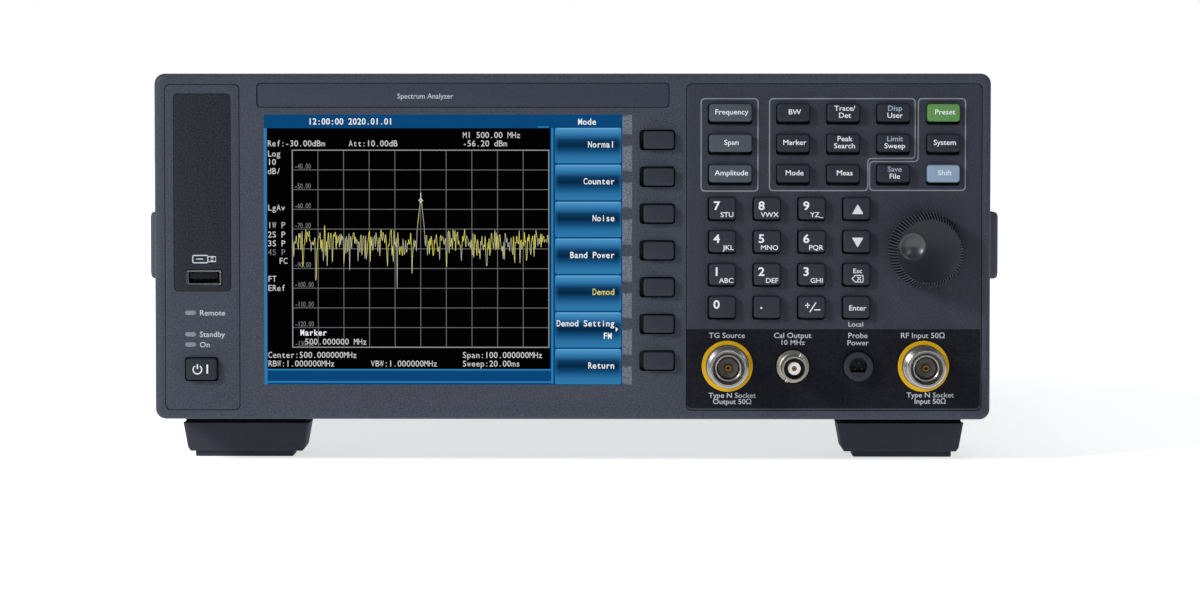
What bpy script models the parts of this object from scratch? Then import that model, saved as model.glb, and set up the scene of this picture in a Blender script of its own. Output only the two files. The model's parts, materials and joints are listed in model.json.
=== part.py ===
"""Benchtop spectrum analyzer, modelled as the assembly it is on the bench.

Metres, +Z up. The operator's side faces -Y and +X is the operator's right. The origin is under the
middle of the instrument, on the surface that it stands on. Depths are counted backwards from the
front edge of the moulded front frame, and heights on the panel from that frame's lower edge.
"""

import math

import bmesh
import bpy
from mathutils import Matrix, Vector

# Driving dimensions -----------------------------------------------------------------------------
FRAME_WIDTH = 0.320
FRAME_HEIGHT = 0.1325
FRAME_DEPTH = 0.028
FRAME_CORNER = 0.004
FRAME_EDGE = 0.0010
FRAME_WALL = 0.0026
FOOT_HEIGHT = 0.0171
CASE_LENGTH = 0.345
CASE_WALL = 0.0012
CASE_INSET = 0.0012
REAR_PLATE = 0.0016
REAR_POST_LENGTH = 0.0248
GAP = 0.0003

# Front panel plate
FACE_SETBACK = 0.0008
FACE_PLATE = 0.0030
WINDOW_MARGIN = 0.0418
WINDOW_WIDTH = 0.1420
WINDOW_BOTTOM = 0.0134
WINDOW_HEIGHT = 0.1034
WINDOW_CORNER = 0.0010

# Keys: sizes are (width, height); margins are from the frame's right edge to a column's middle
KEY_GAP = 0.0003
KEY_CORNER = 0.0011
KEY_EDGE = 0.0005
KEY_PROUD = 0.0028
KEY_TRAVEL = 0.0015
KEY_FLANGE = 0.0010
KEY_FLANGE_THICKNESS = 0.0010
KEY_STEM_WIDTH = 0.0036
KEY_STEM_LENGTH = 0.0019
SOFTKEY_SIZE = (0.0129, 0.0073)
SOFTKEY_OFFSET = 0.0088
SOFTKEY_TOP_ROW = 0.1071
SOFTKEY_PITCH = 0.01407
SOFTKEY_COUNT = 7
WIDE_KEY_SIZE = (0.0164, 0.0075)
WIDE_KEY_MARGIN = 0.0997
FUNCTION_KEY_SIZE = (0.0124, 0.0075)
FUNCTION_FIRST_MARGIN = 0.0757
FUNCTION_COLUMN_PITCH = 0.01907
FUNCTION_TOP_ROW = 0.1170
FUNCTION_ROW_PITCH = 0.0116
NUMBER_KEY_SIZE = (0.0103, 0.0086)
NUMBER_FIRST_MARGIN = 0.1028
NUMBER_COLUMN_PITCH = 0.01708
NUMBER_TOP_ROW = 0.0807
NUMBER_ROW_PITCH = 0.01257
POWER_KEY_SIZE = (0.0123, 0.0087)
POWER_KEY_MARGIN = 0.0180
POWER_KEY_RISE = 0.0193

FUNCTION_KEYS = (
    ("frequency", "bandwidth", "trace", "display", "preset"),
    ("span", "marker", "peak", "sweep", "system"),
    ("amplitude", "mode", "measure", "file", "shift"),
)
NUMBER_KEYS = (
    ("seven", "eight", "nine", "up"),
    ("four", "five", "six", "down"),
    ("one", "two", "three", "escape"),
    ("zero", "point", "sign", "enter"),
)

# Tuning knob and its encoder
KNOB_MARGIN = 0.0248
KNOB_RISE = 0.0651
KNOB_SKIRT_RADIUS = 0.01465
KNOB_FACE_RADIUS = 0.0129
KNOB_HEIGHT = 0.0155
KNOB_LIFT = 0.0006
KNOB_RIM = 0.0010
KNOB_DISH = 0.0009
KNOB_DIMPLE_RADIUS = 0.0047
KNOB_DIMPLE_DEPTH = 0.0012
KNOB_DIMPLE_OFFSET = 0.00665
KNOB_DIMPLE_ANGLE = math.radians(158)
SHAFT_RADIUS = 0.0030
SHAFT_LENGTH = 0.0150
BUSHING_RADIUS = 0.0046
BUSHING_LENGTH = 0.0030
ENCODER_SIZE = 0.0140
ENCODER_DEPTH = 0.0070

# Boards behind the panel
BOARD_THICKNESS = 0.0016
BOARD_BESIDE_WINDOW = 0.0009
BOARD_MARGIN = 0.0040
BOARD_TAIL_WIDTH = 0.0188
BOARD_STEP_RISE = 0.0357
BOSS_RADIUS = 0.0022
BOARD_BOTTOM = 0.0150
BOARD_TOP = 0.1265
SWITCH_SIZE = 0.0060
SWITCH_HEIGHT = 0.0012

# Display module
GLASS_SETBACK = 0.0014
SCREEN_CAN_BORDER = 0.0016
SCREEN_CAN_LEFT_BORDER = 0.0045
SCREEN_CAN_RIGHT_TRIM = 0.0006
SCREEN_CAN_DEPTH = 0.0120

# Connectors on the panel
CONNECTOR_RISE = 0.0206
CONNECTOR_PITCH = 0.0250
INPUT_MARGIN = 0.0256
N_BARREL_RADIUS = 0.0079
N_BORE_RADIUS = 0.00405
N_BORE_DEPTH = 0.0095
N_PROUD = 0.0150
N_PIN_RADIUS = 0.0015
N_PIN_LENGTH = 0.0070
BNC_BARREL_RADIUS = 0.0048
BNC_BORE_RADIUS = 0.00405
BNC_BORE_DEPTH = 0.0085
BNC_PROUD = 0.0145
BNC_DIELECTRIC_RADIUS = 0.0025
BNC_DIELECTRIC_LENGTH = 0.0060
BNC_SHOULDER_RADIUS = 0.0062
BNC_SHOULDER_PROUD = 0.0030
BNC_LUG_RADIUS = 0.0010
BNC_LUG_REACH = 0.0056
BNC_LUG_SETBACK = 0.0050
PROBE_RADIUS = 0.0056
PROBE_BORE_RADIUS = 0.0033
PROBE_BORE_DEPTH = 0.0080
PROBE_PROUD = 0.0040
PROBE_PIN_RADIUS = 0.0005
PROBE_PIN_LENGTH = 0.0050
PROBE_PIN_CIRCLE = 0.0017
CONNECTOR_CLEARANCE = 0.0004
CONNECTOR_FLANGE = 0.0022
CONNECTOR_FLANGE_THICKNESS = 0.0024
COAX_RADIUS = 0.0032
USB_MARGIN = 0.0190
USB_RISE = 0.0544
USB_SIZE = (0.0133, 0.0057)
USB_WALL = 0.0004
USB_LENGTH = 0.0140
USB_BACK = 0.0012
USB_TONGUE = (0.0110, 0.0019)
USB_TONGUE_RISE = 0.0009
USB_TONGUE_LENGTH = 0.0095

# Chassis and what stands in it
CHASSIS_SETBACK = 0.0220
CHASSIS_WALL = 0.0012
CHASSIS_CLEARANCE = 0.0005
CHASSIS_SIDE_HEIGHT = 0.1150
RF_MODULE_SIZE = (0.1100, 0.1500, 0.0560)
RF_MODULE_MARGIN = 0.0070
RF_FIN_COUNT = 9
RF_FIN_THICKNESS = 0.0016
RF_FIN_HEIGHT = 0.0120
POWER_SUPPLY_SIZE = (0.1050, 0.1450, 0.0680)
POWER_SUPPLY_MARGIN = 0.0720
INLET_SIZE = (0.0285, 0.0210)
INLET_CAVITY = (0.0245, 0.0165)
INLET_CAVITY_DEPTH = 0.0165
INLET_PROUD = 0.0012
INLET_RISE = 0.0420
INLET_PIN = (0.0020, 0.0040)
INLET_PIN_LENGTH = 0.0120
INLET_PIN_SPACING = 0.0070
INLET_PIN_RISE = 0.0020

# Rear panel, fan and posts
FAN_MARGIN = 0.0900
FAN_RISE = 0.0720
FAN_BORE_RADIUS = 0.0280
FAN_FRAME_SIZE = 0.0600
FAN_FRAME_DEPTH = 0.0150
FAN_HUB_RADIUS = 0.0110
FAN_HUB_LENGTH = 0.0100
FAN_TIP_GAP = 0.0012
FAN_BLADE_COUNT = 7
FAN_BLADE_CHORD = 0.0100
FAN_BLADE_THICKNESS = 0.0012
FAN_BLADE_PITCH = math.radians(38)
FAN_SHAFT_RADIUS = 0.0015
FAN_SHAFT_LENGTH = 0.0032
FAN_BOSS_RADIUS = 0.0060
FAN_BOSS_LENGTH = 0.0040
GUARD_THICKNESS = 0.0010
GUARD_SPOKE = 0.0030
GUARD_OPENINGS = 6
REAR_POST_SIZE = (0.0260, 0.0130)
REAR_POST_INSET = 0.0060

# Side vents, strap handles and feet
VENT_COUNT = 8
VENT_SIZE = (0.0030, 0.0420)
VENT_PITCH = 0.0075
VENT_INSET = 0.0160
HANDLE_HEIGHT = 0.0267
HANDLE_PROUD = 0.0099
HANDLE_DROP = 0.0016
HANDLE_STRAP = 0.0026
HANDLE_CAP_LENGTH = 0.0240
HANDLE_LENGTH = 0.2300
HANDLE_SETBACK = 0.0580
HANDLE_EDGE = 0.0022
FOOT_SPREAD = 0.1280
FOOT_TOP_WIDTH = 0.0495
FOOT_LOW_WIDTH = 0.0464
FOOT_PAD_WIDTH = 0.0384
FOOT_PAD_HEIGHT = 0.0022
FOOT_NECK_WIDTH = 0.0465
FOOT_NECK_HEIGHT = 0.0024
FOOT_LENGTH = 0.0320
FOOT_CORNER = 0.0030
FOOT_INSET = 0.0005
REAR_FOOT_INSET = 0.0180

ROUND_STEPS = 24
CORNER_STEPS = 3
KEY_CORNER_STEPS = 1

# Places worked out from the sizes above ----------------------------------------------------------
LEFT_EDGE = -FRAME_WIDTH / 2
RIGHT_EDGE = FRAME_WIDTH / 2
WINDOW_LEFT = LEFT_EDGE + WINDOW_MARGIN
WINDOW_RIGHT = WINDOW_LEFT + WINDOW_WIDTH
WINDOW_TOP = WINDOW_BOTTOM + WINDOW_HEIGHT
SOFTKEY_X = WINDOW_RIGHT + SOFTKEY_OFFSET
WIDE_KEY_X = RIGHT_EDGE - WIDE_KEY_MARGIN
FUNCTION_FIRST_X = RIGHT_EDGE - FUNCTION_FIRST_MARGIN
NUMBER_FIRST_X = RIGHT_EDGE - NUMBER_FIRST_MARGIN
POWER_KEY_X = LEFT_EDGE + POWER_KEY_MARGIN
KNOB_X = RIGHT_EDGE - KNOB_MARGIN
INPUT_X = RIGHT_EDGE - INPUT_MARGIN
PROBE_X = INPUT_X - CONNECTOR_PITCH
CAL_X = PROBE_X - CONNECTOR_PITCH
SOURCE_X = CAL_X - CONNECTOR_PITCH
USB_X = LEFT_EDGE + USB_MARGIN
BOARD_LEFT = WINDOW_RIGHT + BOARD_BESIDE_WINDOW
BOARD_RIGHT = RIGHT_EDGE - BOARD_MARGIN
POWER_SUPPLY_X = LEFT_EDGE + POWER_SUPPLY_MARGIN
FAN_X = RIGHT_EDGE - FAN_MARGIN
FACE_DEPTH = FACE_SETBACK
FACE_BACK = FACE_SETBACK + FACE_PLATE
KEY_STEM_END = FACE_BACK + GAP + KEY_FLANGE_THICKNESS + KEY_STEM_LENGTH
SWITCH_FACE = KEY_STEM_END + KEY_TRAVEL + GAP
BOARD_FACE = SWITCH_FACE + SWITCH_HEIGHT
BOARD_BACK = BOARD_FACE + BOARD_THICKNESS
CASE_FRONT = FRAME_DEPTH + GAP
CASE_BACK = CASE_FRONT + CASE_LENGTH
REAR_PLATE_FRONT = CASE_BACK + GAP
REAR_PLATE_BACK = REAR_PLATE_FRONT + REAR_PLATE
BODY_DEPTH = REAR_PLATE_BACK + REAR_POST_LENGTH
KNOB_REACH = KNOB_LIFT + KNOB_HEIGHT - FACE_DEPTH
FRONT_REACH = max(KNOB_REACH, N_PROUD - FACE_DEPTH, BNC_PROUD - FACE_DEPTH)
FRONT_Y = (FRONT_REACH - BODY_DEPTH) / 2
CASE_WIDTH = FRAME_WIDTH - 2 * CASE_INSET
CASE_HEIGHT = FRAME_HEIGHT - 2 * CASE_INSET
CHASSIS_WIDTH = min(CASE_WIDTH - 2 * CASE_WALL, FRAME_WIDTH - 2 * FRAME_WALL) - 2 * CHASSIS_CLEARANCE
CHASSIS_FLOOR = FOOT_HEIGHT + max(CASE_INSET + CASE_WALL, FRAME_WALL) + CHASSIS_CLEARANCE
CHASSIS_BACK = CASE_BACK - GAP
MODULE_FRONT = CHASSIS_SETBACK + CHASSIS_WALL + GAP

# Bosses that hold the board, as (distance from the right edge, height on the panel)
BOARD_BOSSES = (
    (0.1140, 0.1050),
    (0.1140, 0.0450),
    (0.0390, 0.0800),
    (0.0390, 0.0450),
    (0.0100, 0.0850),
    (0.0100, 0.0450),
)

COLOURS = {
    "front_moulding": ((67, 71, 83), 0.55, 0.0),
    "key_dark": ((47, 49, 57), 0.50, 0.0),
    "key_light": ((80, 84, 95), 0.50, 0.0),
    "key_number": ((50, 52, 60), 0.50, 0.0),
    "key_soft": ((52, 54, 62), 0.50, 0.0),
    "key_green": ((92, 136, 78), 0.50, 0.0),
    "key_blue": ((132, 154, 177), 0.50, 0.0),
    "knob_rubber": ((48, 50, 57), 0.60, 0.0),
    "screen_glass": ((9, 71, 119), 0.12, 0.0),
    "board_green": ((28, 74, 48), 0.55, 0.0),
    "connector_metal": ((176, 170, 158), 0.25, 1.0),
    "socket_black": ((24, 25, 29), 0.45, 0.0),
    "port_metal": ((182, 184, 188), 0.25, 1.0),
    "chassis_steel": ((176, 180, 184), 0.40, 1.0),
    "case_paint": ((96, 99, 108), 0.60, 0.0),
    "rear_metal": ((150, 153, 158), 0.45, 1.0),
    "module_aluminium": ((196, 198, 202), 0.35, 1.0),
    "supply_case": ((160, 163, 168), 0.40, 1.0),
    "fan_plastic": ((22, 23, 26), 0.50, 0.0),
    "foot_rubber": ((52, 54, 62), 0.75, 0.0),
    "strap_rubber": ((66, 68, 77), 0.70, 0.0),
}


# Helpers -----------------------------------------------------------------------------------------
def clear_scene():
    for obj in list(bpy.data.objects):
        bpy.data.objects.remove(obj, do_unlink=True)


def linear(level):
    """One 8-bit display colour channel as a linear value."""
    share = level / 255
    return share / 12.92 if share <= 0.04045 else ((share + 0.055) / 1.055) ** 2.4


def make_materials():
    for name, (colour, roughness, metallic) in COLOURS.items():
        made = bpy.data.materials.new(name)
        made.use_nodes = True
        shader = made.node_tree.nodes["Principled BSDF"]
        shader.inputs["Base Color"].default_value = (*map(linear, colour), 1.0)
        shader.inputs["Roughness"].default_value = roughness
        shader.inputs["Metallic"].default_value = metallic


def at(x, depth, height):
    """A point from panel coordinates: across, back from the front edge, up from the frame's foot."""
    return Vector((x, FRONT_Y + depth, FOOT_HEIGHT + height))


def outline(width, height, corner, steps=CORNER_STEPS):
    """A rounded rectangle about the origin, as (u, v) points."""
    points = []
    for quarter in range(4):
        middle_u = (width / 2 - corner) * (1 if quarter in (0, 3) else -1)
        middle_v = (height / 2 - corner) * (1 if quarter in (0, 1) else -1)
        for step in range(steps + 1):
            angle = (quarter + step / steps) * math.pi / 2
            points.append((middle_u + corner * math.cos(angle), middle_v + corner * math.sin(angle)))
    return points


def circle(radius, steps=ROUND_STEPS):
    turns = (2 * math.pi * step / steps for step in range(steps))
    return [(radius * math.cos(turn), radius * math.sin(turn)) for turn in turns]


def add_stack(bm, rings, centre, upright=False):
    """Closed skin through rings of equal point count, each ring being (points, level).

    Levels run back along +Y, or up +Z when upright.
    """
    rows = []
    for points, level in rings:
        places = [(u, v, level) if upright else (u, level, v) for u, v in points]
        rows.append([bm.verts.new(Vector(place) + centre) for place in places])
    count = len(rows[0])
    faces = [bm.faces.new(rows[0]), bm.faces.new(rows[-1])]
    for low, high in zip(rows, rows[1:]):
        for i in range(count):
            j = (i + 1) % count
            faces.append(bm.faces.new((low[i], low[j], high[j], high[i])))
    bmesh.ops.recalc_face_normals(bm, faces=faces)


def add_block(bm, low, high):
    """A plain box between two corners."""
    size = high - low
    made = bmesh.ops.create_cube(bm, size=1.0)
    matrix = Matrix.Translation((low + high) / 2) @ Matrix.Diagonal((*size, 1.0))
    bmesh.ops.transform(bm, matrix=matrix, verts=made["verts"])


def add_turned(bm, profile, centre, steps=ROUND_STEPS):
    """A round piece about Y from (radius, level) points; it starts and ends on flat round faces."""
    add_stack(bm, [(circle(radius, steps), level) for radius, level in profile], centre)


def finish(name, bm, slot, origin):
    """Turns a bmesh in world places into an object that has its origin where it should be."""
    bmesh.ops.translate(bm, vec=-origin, verts=bm.verts)
    mesh = bpy.data.meshes.new(name)
    bm.to_mesh(mesh)
    bm.free()
    mesh.shade_smooth()
    mesh.set_sharp_from_angle(angle=math.radians(35))
    obj = bpy.data.objects.new(name, mesh)
    obj.location = origin
    bpy.context.scene.collection.objects.link(obj)
    if slot:
        mesh.materials.append(bpy.data.materials[slot])
    return obj


def combine(obj, operation, bm):
    """Cuts a helper's shape from an object, or joins it on."""
    helper = finish(f"{obj.name}_{operation.lower()}_{len(obj.modifiers)}", bm, None, obj.location.copy())
    helper.hide_render = True
    helper.display_type = "WIRE"
    modifier = obj.modifiers.new(operation.title(), "BOOLEAN")
    modifier.operation = operation
    modifier.solver = "EXACT"
    modifier.object = helper


# Places of the keys ------------------------------------------------------------------------------
def key_places():
    """Every key as name: (size, x, height on the panel, material)."""
    places = {}
    for row in range(SOFTKEY_COUNT):
        height = SOFTKEY_TOP_ROW - row * SOFTKEY_PITCH
        places[f"softkey_{row + 1}"] = (SOFTKEY_SIZE, SOFTKEY_X, height, "key_soft")
    special = {"preset": "key_green", "shift": "key_blue"}
    for row, names in enumerate(FUNCTION_KEYS):
        height = FUNCTION_TOP_ROW - row * FUNCTION_ROW_PITCH
        places[f"{names[0]}_key"] = (WIDE_KEY_SIZE, WIDE_KEY_X, height, "key_light")
        for column, name in enumerate(names[1:]):
            x = FUNCTION_FIRST_X + column * FUNCTION_COLUMN_PITCH
            slot = special.get(name, "key_dark")
            places[f"{name}_key"] = (FUNCTION_KEY_SIZE, x, height, slot)
    for row, names in enumerate(NUMBER_KEYS):
        height = NUMBER_TOP_ROW - row * NUMBER_ROW_PITCH
        for column, name in enumerate(names):
            x = NUMBER_FIRST_X + column * NUMBER_COLUMN_PITCH
            places[f"{name}_key"] = (NUMBER_KEY_SIZE, x, height, "key_number")
    places["power_button"] = (POWER_KEY_SIZE, POWER_KEY_X, POWER_KEY_RISE, "key_dark")
    return places


# Sub-parts ---------------------------------------------------------------------------------------
def make_key(name, size, x, height, slot):
    """A cap that stands out of its hole, a flange that keeps it in, and the stem for its switch."""
    width, tall = size
    cap_face = FACE_DEPTH - KEY_PROUD
    flange_front = FACE_BACK + GAP
    flange_back = flange_front + KEY_FLANGE_THICKNESS
    steps = KEY_CORNER_STEPS
    cap = outline(width, tall, KEY_CORNER, steps)
    face = outline(width - 2 * KEY_EDGE, tall - 2 * KEY_EDGE, KEY_CORNER - KEY_EDGE, steps)
    flange = outline(width + 2 * KEY_FLANGE, tall + 2 * KEY_FLANGE, KEY_CORNER, steps)
    stem = outline(KEY_STEM_WIDTH, KEY_STEM_WIDTH, KEY_STEM_WIDTH / 4, steps)
    rings = [
        (face, cap_face),
        (cap, cap_face + KEY_EDGE),
        (cap, flange_front),
        (flange, flange_front),
        (flange, flange_back),
        (stem, flange_back),
        (stem, KEY_STEM_END),
    ]
    bm = bmesh.new()
    add_stack(bm, rings, at(x, 0, height))
    finish(name, bm, slot, at(x, 0, height))


def add_key_hole(bm, size, x, height):
    width, tall = size
    hole = outline(width + 2 * KEY_GAP, tall + 2 * KEY_GAP, KEY_CORNER + KEY_GAP, KEY_CORNER_STEPS)
    add_stack(bm, [(hole, -FACE_SETBACK), (hole, FACE_BACK + FACE_PLATE)], at(x, 0, height))


def window_box():
    """Middle and size of the opening for the display."""
    middle = at((WINDOW_LEFT + WINDOW_RIGHT) / 2, 0, (WINDOW_BOTTOM + WINDOW_TOP) / 2)
    return middle, WINDOW_RIGHT - WINDOW_LEFT, WINDOW_TOP - WINDOW_BOTTOM


def make_front_frame(keys):
    """The moulded frame: a skirt round the edge and a pierced plate set a little way in."""
    centre = at(0, 0, FRAME_HEIGHT / 2)
    edge = outline(FRAME_WIDTH - 2 * FRAME_EDGE, FRAME_HEIGHT - 2 * FRAME_EDGE, FRAME_CORNER - FRAME_EDGE)
    outer = outline(FRAME_WIDTH, FRAME_HEIGHT, FRAME_CORNER)
    inner_corner = max(FRAME_CORNER - FRAME_WALL, FRAME_EDGE)
    lip = outline(FRAME_WIDTH - 4 * FRAME_EDGE, FRAME_HEIGHT - 4 * FRAME_EDGE, FRAME_CORNER - FRAME_EDGE)
    inner = outline(FRAME_WIDTH - 2 * FRAME_WALL, FRAME_HEIGHT - 2 * FRAME_WALL, inner_corner)
    rings = [
        (lip, FACE_DEPTH),
        (lip, 0),
        (edge, 0),
        (outer, FRAME_EDGE),
        (outer, FRAME_DEPTH),
        (inner, FRAME_DEPTH),
        (inner, FACE_BACK),
    ]
    bm = bmesh.new()
    add_stack(bm, rings, centre)
    frame = finish("front_frame", bm, "front_moulding", centre)

    holes = bmesh.new()
    for size, x, height, _ in keys.values():
        add_key_hole(holes, size, x, height)
    through = (-FACE_SETBACK, FACE_BACK + FACE_PLATE)
    middle, width, tall = window_box()
    window = outline(width, tall, WINDOW_CORNER)
    add_stack(holes, [(window, level) for level in through], middle)
    rounds = (
        (KNOB_X, KNOB_RISE, SHAFT_RADIUS + CONNECTOR_CLEARANCE),
        (SOURCE_X, CONNECTOR_RISE, N_BARREL_RADIUS),
        (INPUT_X, CONNECTOR_RISE, N_BARREL_RADIUS),
        (CAL_X, CONNECTOR_RISE, BNC_SHOULDER_RADIUS),
        (PROBE_X, CONNECTOR_RISE, PROBE_RADIUS),
    )
    for x, height, radius in rounds:
        hole = radius + CONNECTOR_CLEARANCE
        add_turned(holes, [(hole, level) for level in through], at(x, 0, height))
    port = outline(*(side + 2 * CONNECTOR_CLEARANCE for side in USB_SIZE), USB_WALL, KEY_CORNER_STEPS)
    add_stack(holes, [(port, level) for level in through], at(USB_X, 0, USB_RISE))
    combine(frame, "DIFFERENCE", holes)

    bosses = bmesh.new()
    levels = (FACE_BACK - FACE_PLATE / 2, BOARD_FACE - GAP)
    for margin, height in BOARD_BOSSES:
        boss = [(BOSS_RADIUS, level) for level in levels]
        add_turned(bosses, boss, at(RIGHT_EDGE - margin, 0, height), steps=12)
    combine(frame, "UNION", bosses)


def make_display_module():
    """The display's glass in the window, on the metal can that holds panel and lamp."""
    middle, width, tall = window_box()
    glass = outline(width - 2 * GAP, tall - 2 * GAP, WINDOW_CORNER)
    can_front = FACE_BACK + GAP
    bm = bmesh.new()
    add_stack(bm, [(glass, FACE_DEPTH + GLASS_SETBACK), (glass, can_front + GAP)], middle)
    module = finish("display_module", bm, "screen_glass", middle)
    can = bmesh.new()
    low = at(
        WINDOW_LEFT - SCREEN_CAN_LEFT_BORDER,
        can_front,
        WINDOW_BOTTOM - SCREEN_CAN_BORDER,
    )
    high = at(
        WINDOW_RIGHT - SCREEN_CAN_RIGHT_TRIM,
        can_front + SCREEN_CAN_DEPTH,
        WINDOW_TOP + SCREEN_CAN_BORDER,
    )
    add_block(can, low, high)
    combine(module, "UNION", can)


def make_keypad_board(keys):
    """The L-shaped board with one switch behind each panel key and the knob's encoder."""
    corners = [
        (BOARD_LEFT, BOARD_BOTTOM),
        (BOARD_LEFT + BOARD_TAIL_WIDTH, BOARD_BOTTOM),
        (BOARD_LEFT + BOARD_TAIL_WIDTH, BOARD_STEP_RISE),
        (BOARD_RIGHT, BOARD_STEP_RISE),
        (BOARD_RIGHT, BOARD_TOP),
        (BOARD_LEFT, BOARD_TOP),
    ]
    bm = bmesh.new()
    add_stack(bm, [(corners, BOARD_FACE), (corners, BOARD_BACK)], at(0, 0, 0))
    board = finish("keypad_board", bm, "board_green", at(0, 0, 0))

    parts = bmesh.new()
    sink = BOARD_THICKNESS / 2
    for name, (_, x, height, _) in keys.items():
        if name == "power_button":
            continue
        half = SWITCH_SIZE / 2
        add_block(parts, at(x - half, SWITCH_FACE, height - half), at(x + half, BOARD_FACE + sink, height + half))
    place = at(KNOB_X, 0, KNOB_RISE)
    add_turned(parts, [(BUSHING_RADIUS, BOARD_FACE - BUSHING_LENGTH), (BUSHING_RADIUS, BOARD_FACE + sink)], place)
    combine(board, "UNION", parts)

    body = bmesh.new()
    half = ENCODER_SIZE / 2
    low = at(KNOB_X - half, BOARD_BACK - sink / 2, KNOB_RISE - half)
    high = at(KNOB_X + half, BOARD_BACK + ENCODER_DEPTH, KNOB_RISE + half)
    add_block(body, low, high)
    combine(board, "UNION", body)

    bore = bmesh.new()
    radius = SHAFT_RADIUS + GAP
    levels = (BOARD_FACE - 2 * BUSHING_LENGTH, FACE_DEPTH + SHAFT_LENGTH + GAP)
    add_turned(bore, [(radius, level) for level in levels], place)
    combine(board, "DIFFERENCE", bore)


def make_tuning_knob():
    """A flared knob with a dished face and a finger dimple, turning on its steel shaft."""
    place = at(KNOB_X, 0, KNOB_RISE)
    back = FACE_DEPTH - KNOB_LIFT
    face = back - KNOB_HEIGHT
    profile = [
        (KNOB_FACE_RADIUS / 3, face + KNOB_DISH),
        (KNOB_FACE_RADIUS * 2 / 3, face + KNOB_DISH * 2 / 3),
        (KNOB_FACE_RADIUS - KNOB_RIM, face),
        (KNOB_FACE_RADIUS, face + KNOB_RIM),
        (KNOB_FACE_RADIUS, back - 3 * KNOB_RIM),
        (KNOB_SKIRT_RADIUS, back - KNOB_RIM),
        (KNOB_SKIRT_RADIUS, back),
        (SHAFT_RADIUS, back),
        (SHAFT_RADIUS, FACE_DEPTH + SHAFT_LENGTH),
    ]
    bm = bmesh.new()
    add_turned(bm, profile, place)
    knob = finish("tuning_knob", bm, "knob_rubber", place)
    dimple = bmesh.new()
    ball_radius = (KNOB_DIMPLE_RADIUS**2 + KNOB_DIMPLE_DEPTH**2) / (2 * KNOB_DIMPLE_DEPTH)
    offset = Vector((math.cos(KNOB_DIMPLE_ANGLE), 0, math.sin(KNOB_DIMPLE_ANGLE))) * KNOB_DIMPLE_OFFSET
    centre = place + offset + Vector((0, face + KNOB_DIMPLE_DEPTH - ball_radius, 0))
    made = bmesh.ops.create_icosphere(dimple, subdivisions=3, radius=ball_radius)
    bmesh.ops.translate(dimple, vec=centre, verts=made["verts"])
    combine(knob, "DIFFERENCE", dimple)


def socket_back(radius):
    """The part of a coaxial connector behind the panel: its flange and the tail to the module."""
    flange = radius + CONNECTOR_FLANGE
    front = FACE_BACK + GAP
    return [
        (radius, front),
        (flange, front),
        (flange, front + CONNECTOR_FLANGE_THICKNESS),
        (COAX_RADIUS, front + CONNECTOR_FLANGE_THICKNESS),
        (COAX_RADIUS, MODULE_FRONT - GAP),
    ]


def make_n_connector(name, x):
    """A threaded coaxial socket with its centre contact standing in the bore."""
    face = FACE_DEPTH - N_PROUD
    floor = face + N_BORE_DEPTH
    profile = [
        (N_PIN_RADIUS, floor - N_PIN_LENGTH),
        (N_PIN_RADIUS, floor),
        (N_BORE_RADIUS, floor),
        (N_BORE_RADIUS, face),
        (N_BARREL_RADIUS, face),
    ]
    bm = bmesh.new()
    add_turned(bm, profile + socket_back(N_BARREL_RADIUS), at(x, 0, CONNECTOR_RISE))
    finish(name, bm, "connector_metal", at(x, 0, CONNECTOR_RISE))


def make_cal_connector():
    """A bayonet coaxial socket with two lugs, its insulator standing in the bore."""
    place = at(CAL_X, 0, CONNECTOR_RISE)
    face = FACE_DEPTH - BNC_PROUD
    floor = face + BNC_BORE_DEPTH
    profile = [
        (BNC_DIELECTRIC_RADIUS, floor - BNC_DIELECTRIC_LENGTH),
        (BNC_DIELECTRIC_RADIUS, floor),
        (BNC_BORE_RADIUS, floor),
        (BNC_BORE_RADIUS, face),
        (BNC_BARREL_RADIUS, face),
        (BNC_BARREL_RADIUS, FACE_DEPTH - BNC_SHOULDER_PROUD),
        (BNC_SHOULDER_RADIUS, FACE_DEPTH - BNC_SHOULDER_PROUD),
    ]
    bm = bmesh.new()
    add_turned(bm, profile + socket_back(BNC_SHOULDER_RADIUS), place)
    socket = finish("cal_output_connector", bm, "connector_metal", place)
    lugs = bmesh.new()
    inside = (BNC_BORE_RADIUS + BNC_BARREL_RADIUS) / 2
    for side in (-1, 1):
        made = bmesh.ops.create_cone(
            lugs,
            cap_ends=True,
            segments=12,
            radius1=BNC_LUG_RADIUS,
            radius2=BNC_LUG_RADIUS,
            depth=BNC_LUG_REACH - inside,
        )
        along = place + Vector((side * (BNC_LUG_REACH + inside) / 2, face + BNC_LUG_SETBACK, 0))
        matrix = Matrix.Translation(along) @ Matrix.Rotation(math.pi / 2, 4, "Y")
        bmesh.ops.transform(lugs, matrix=matrix, verts=made["verts"])
    combine(socket, "UNION", lugs)


def make_probe_socket():
    """A small round supply socket with three pins."""
    place = at(PROBE_X, 0, CONNECTOR_RISE)
    face = FACE_DEPTH - PROBE_PROUD
    floor = face + PROBE_BORE_DEPTH
    profile = [(PROBE_BORE_RADIUS, floor), (PROBE_BORE_RADIUS, face), (PROBE_RADIUS, face)]
    bm = bmesh.new()
    add_turned(bm, profile + socket_back(PROBE_RADIUS), place)
    socket = finish("probe_power_socket", bm, "socket_black", place)
    pins = bmesh.new()
    for number in range(3):
        angle = math.radians(90 + 120 * number)
        offset = Vector((math.cos(angle), 0, math.sin(angle))) * PROBE_PIN_CIRCLE
        levels = (floor - PROBE_PIN_LENGTH, floor + PROBE_PIN_RADIUS)
        add_turned(pins, [(PROBE_PIN_RADIUS, level) for level in levels], place + offset, steps=8)
    combine(socket, "UNION", pins)


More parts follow.
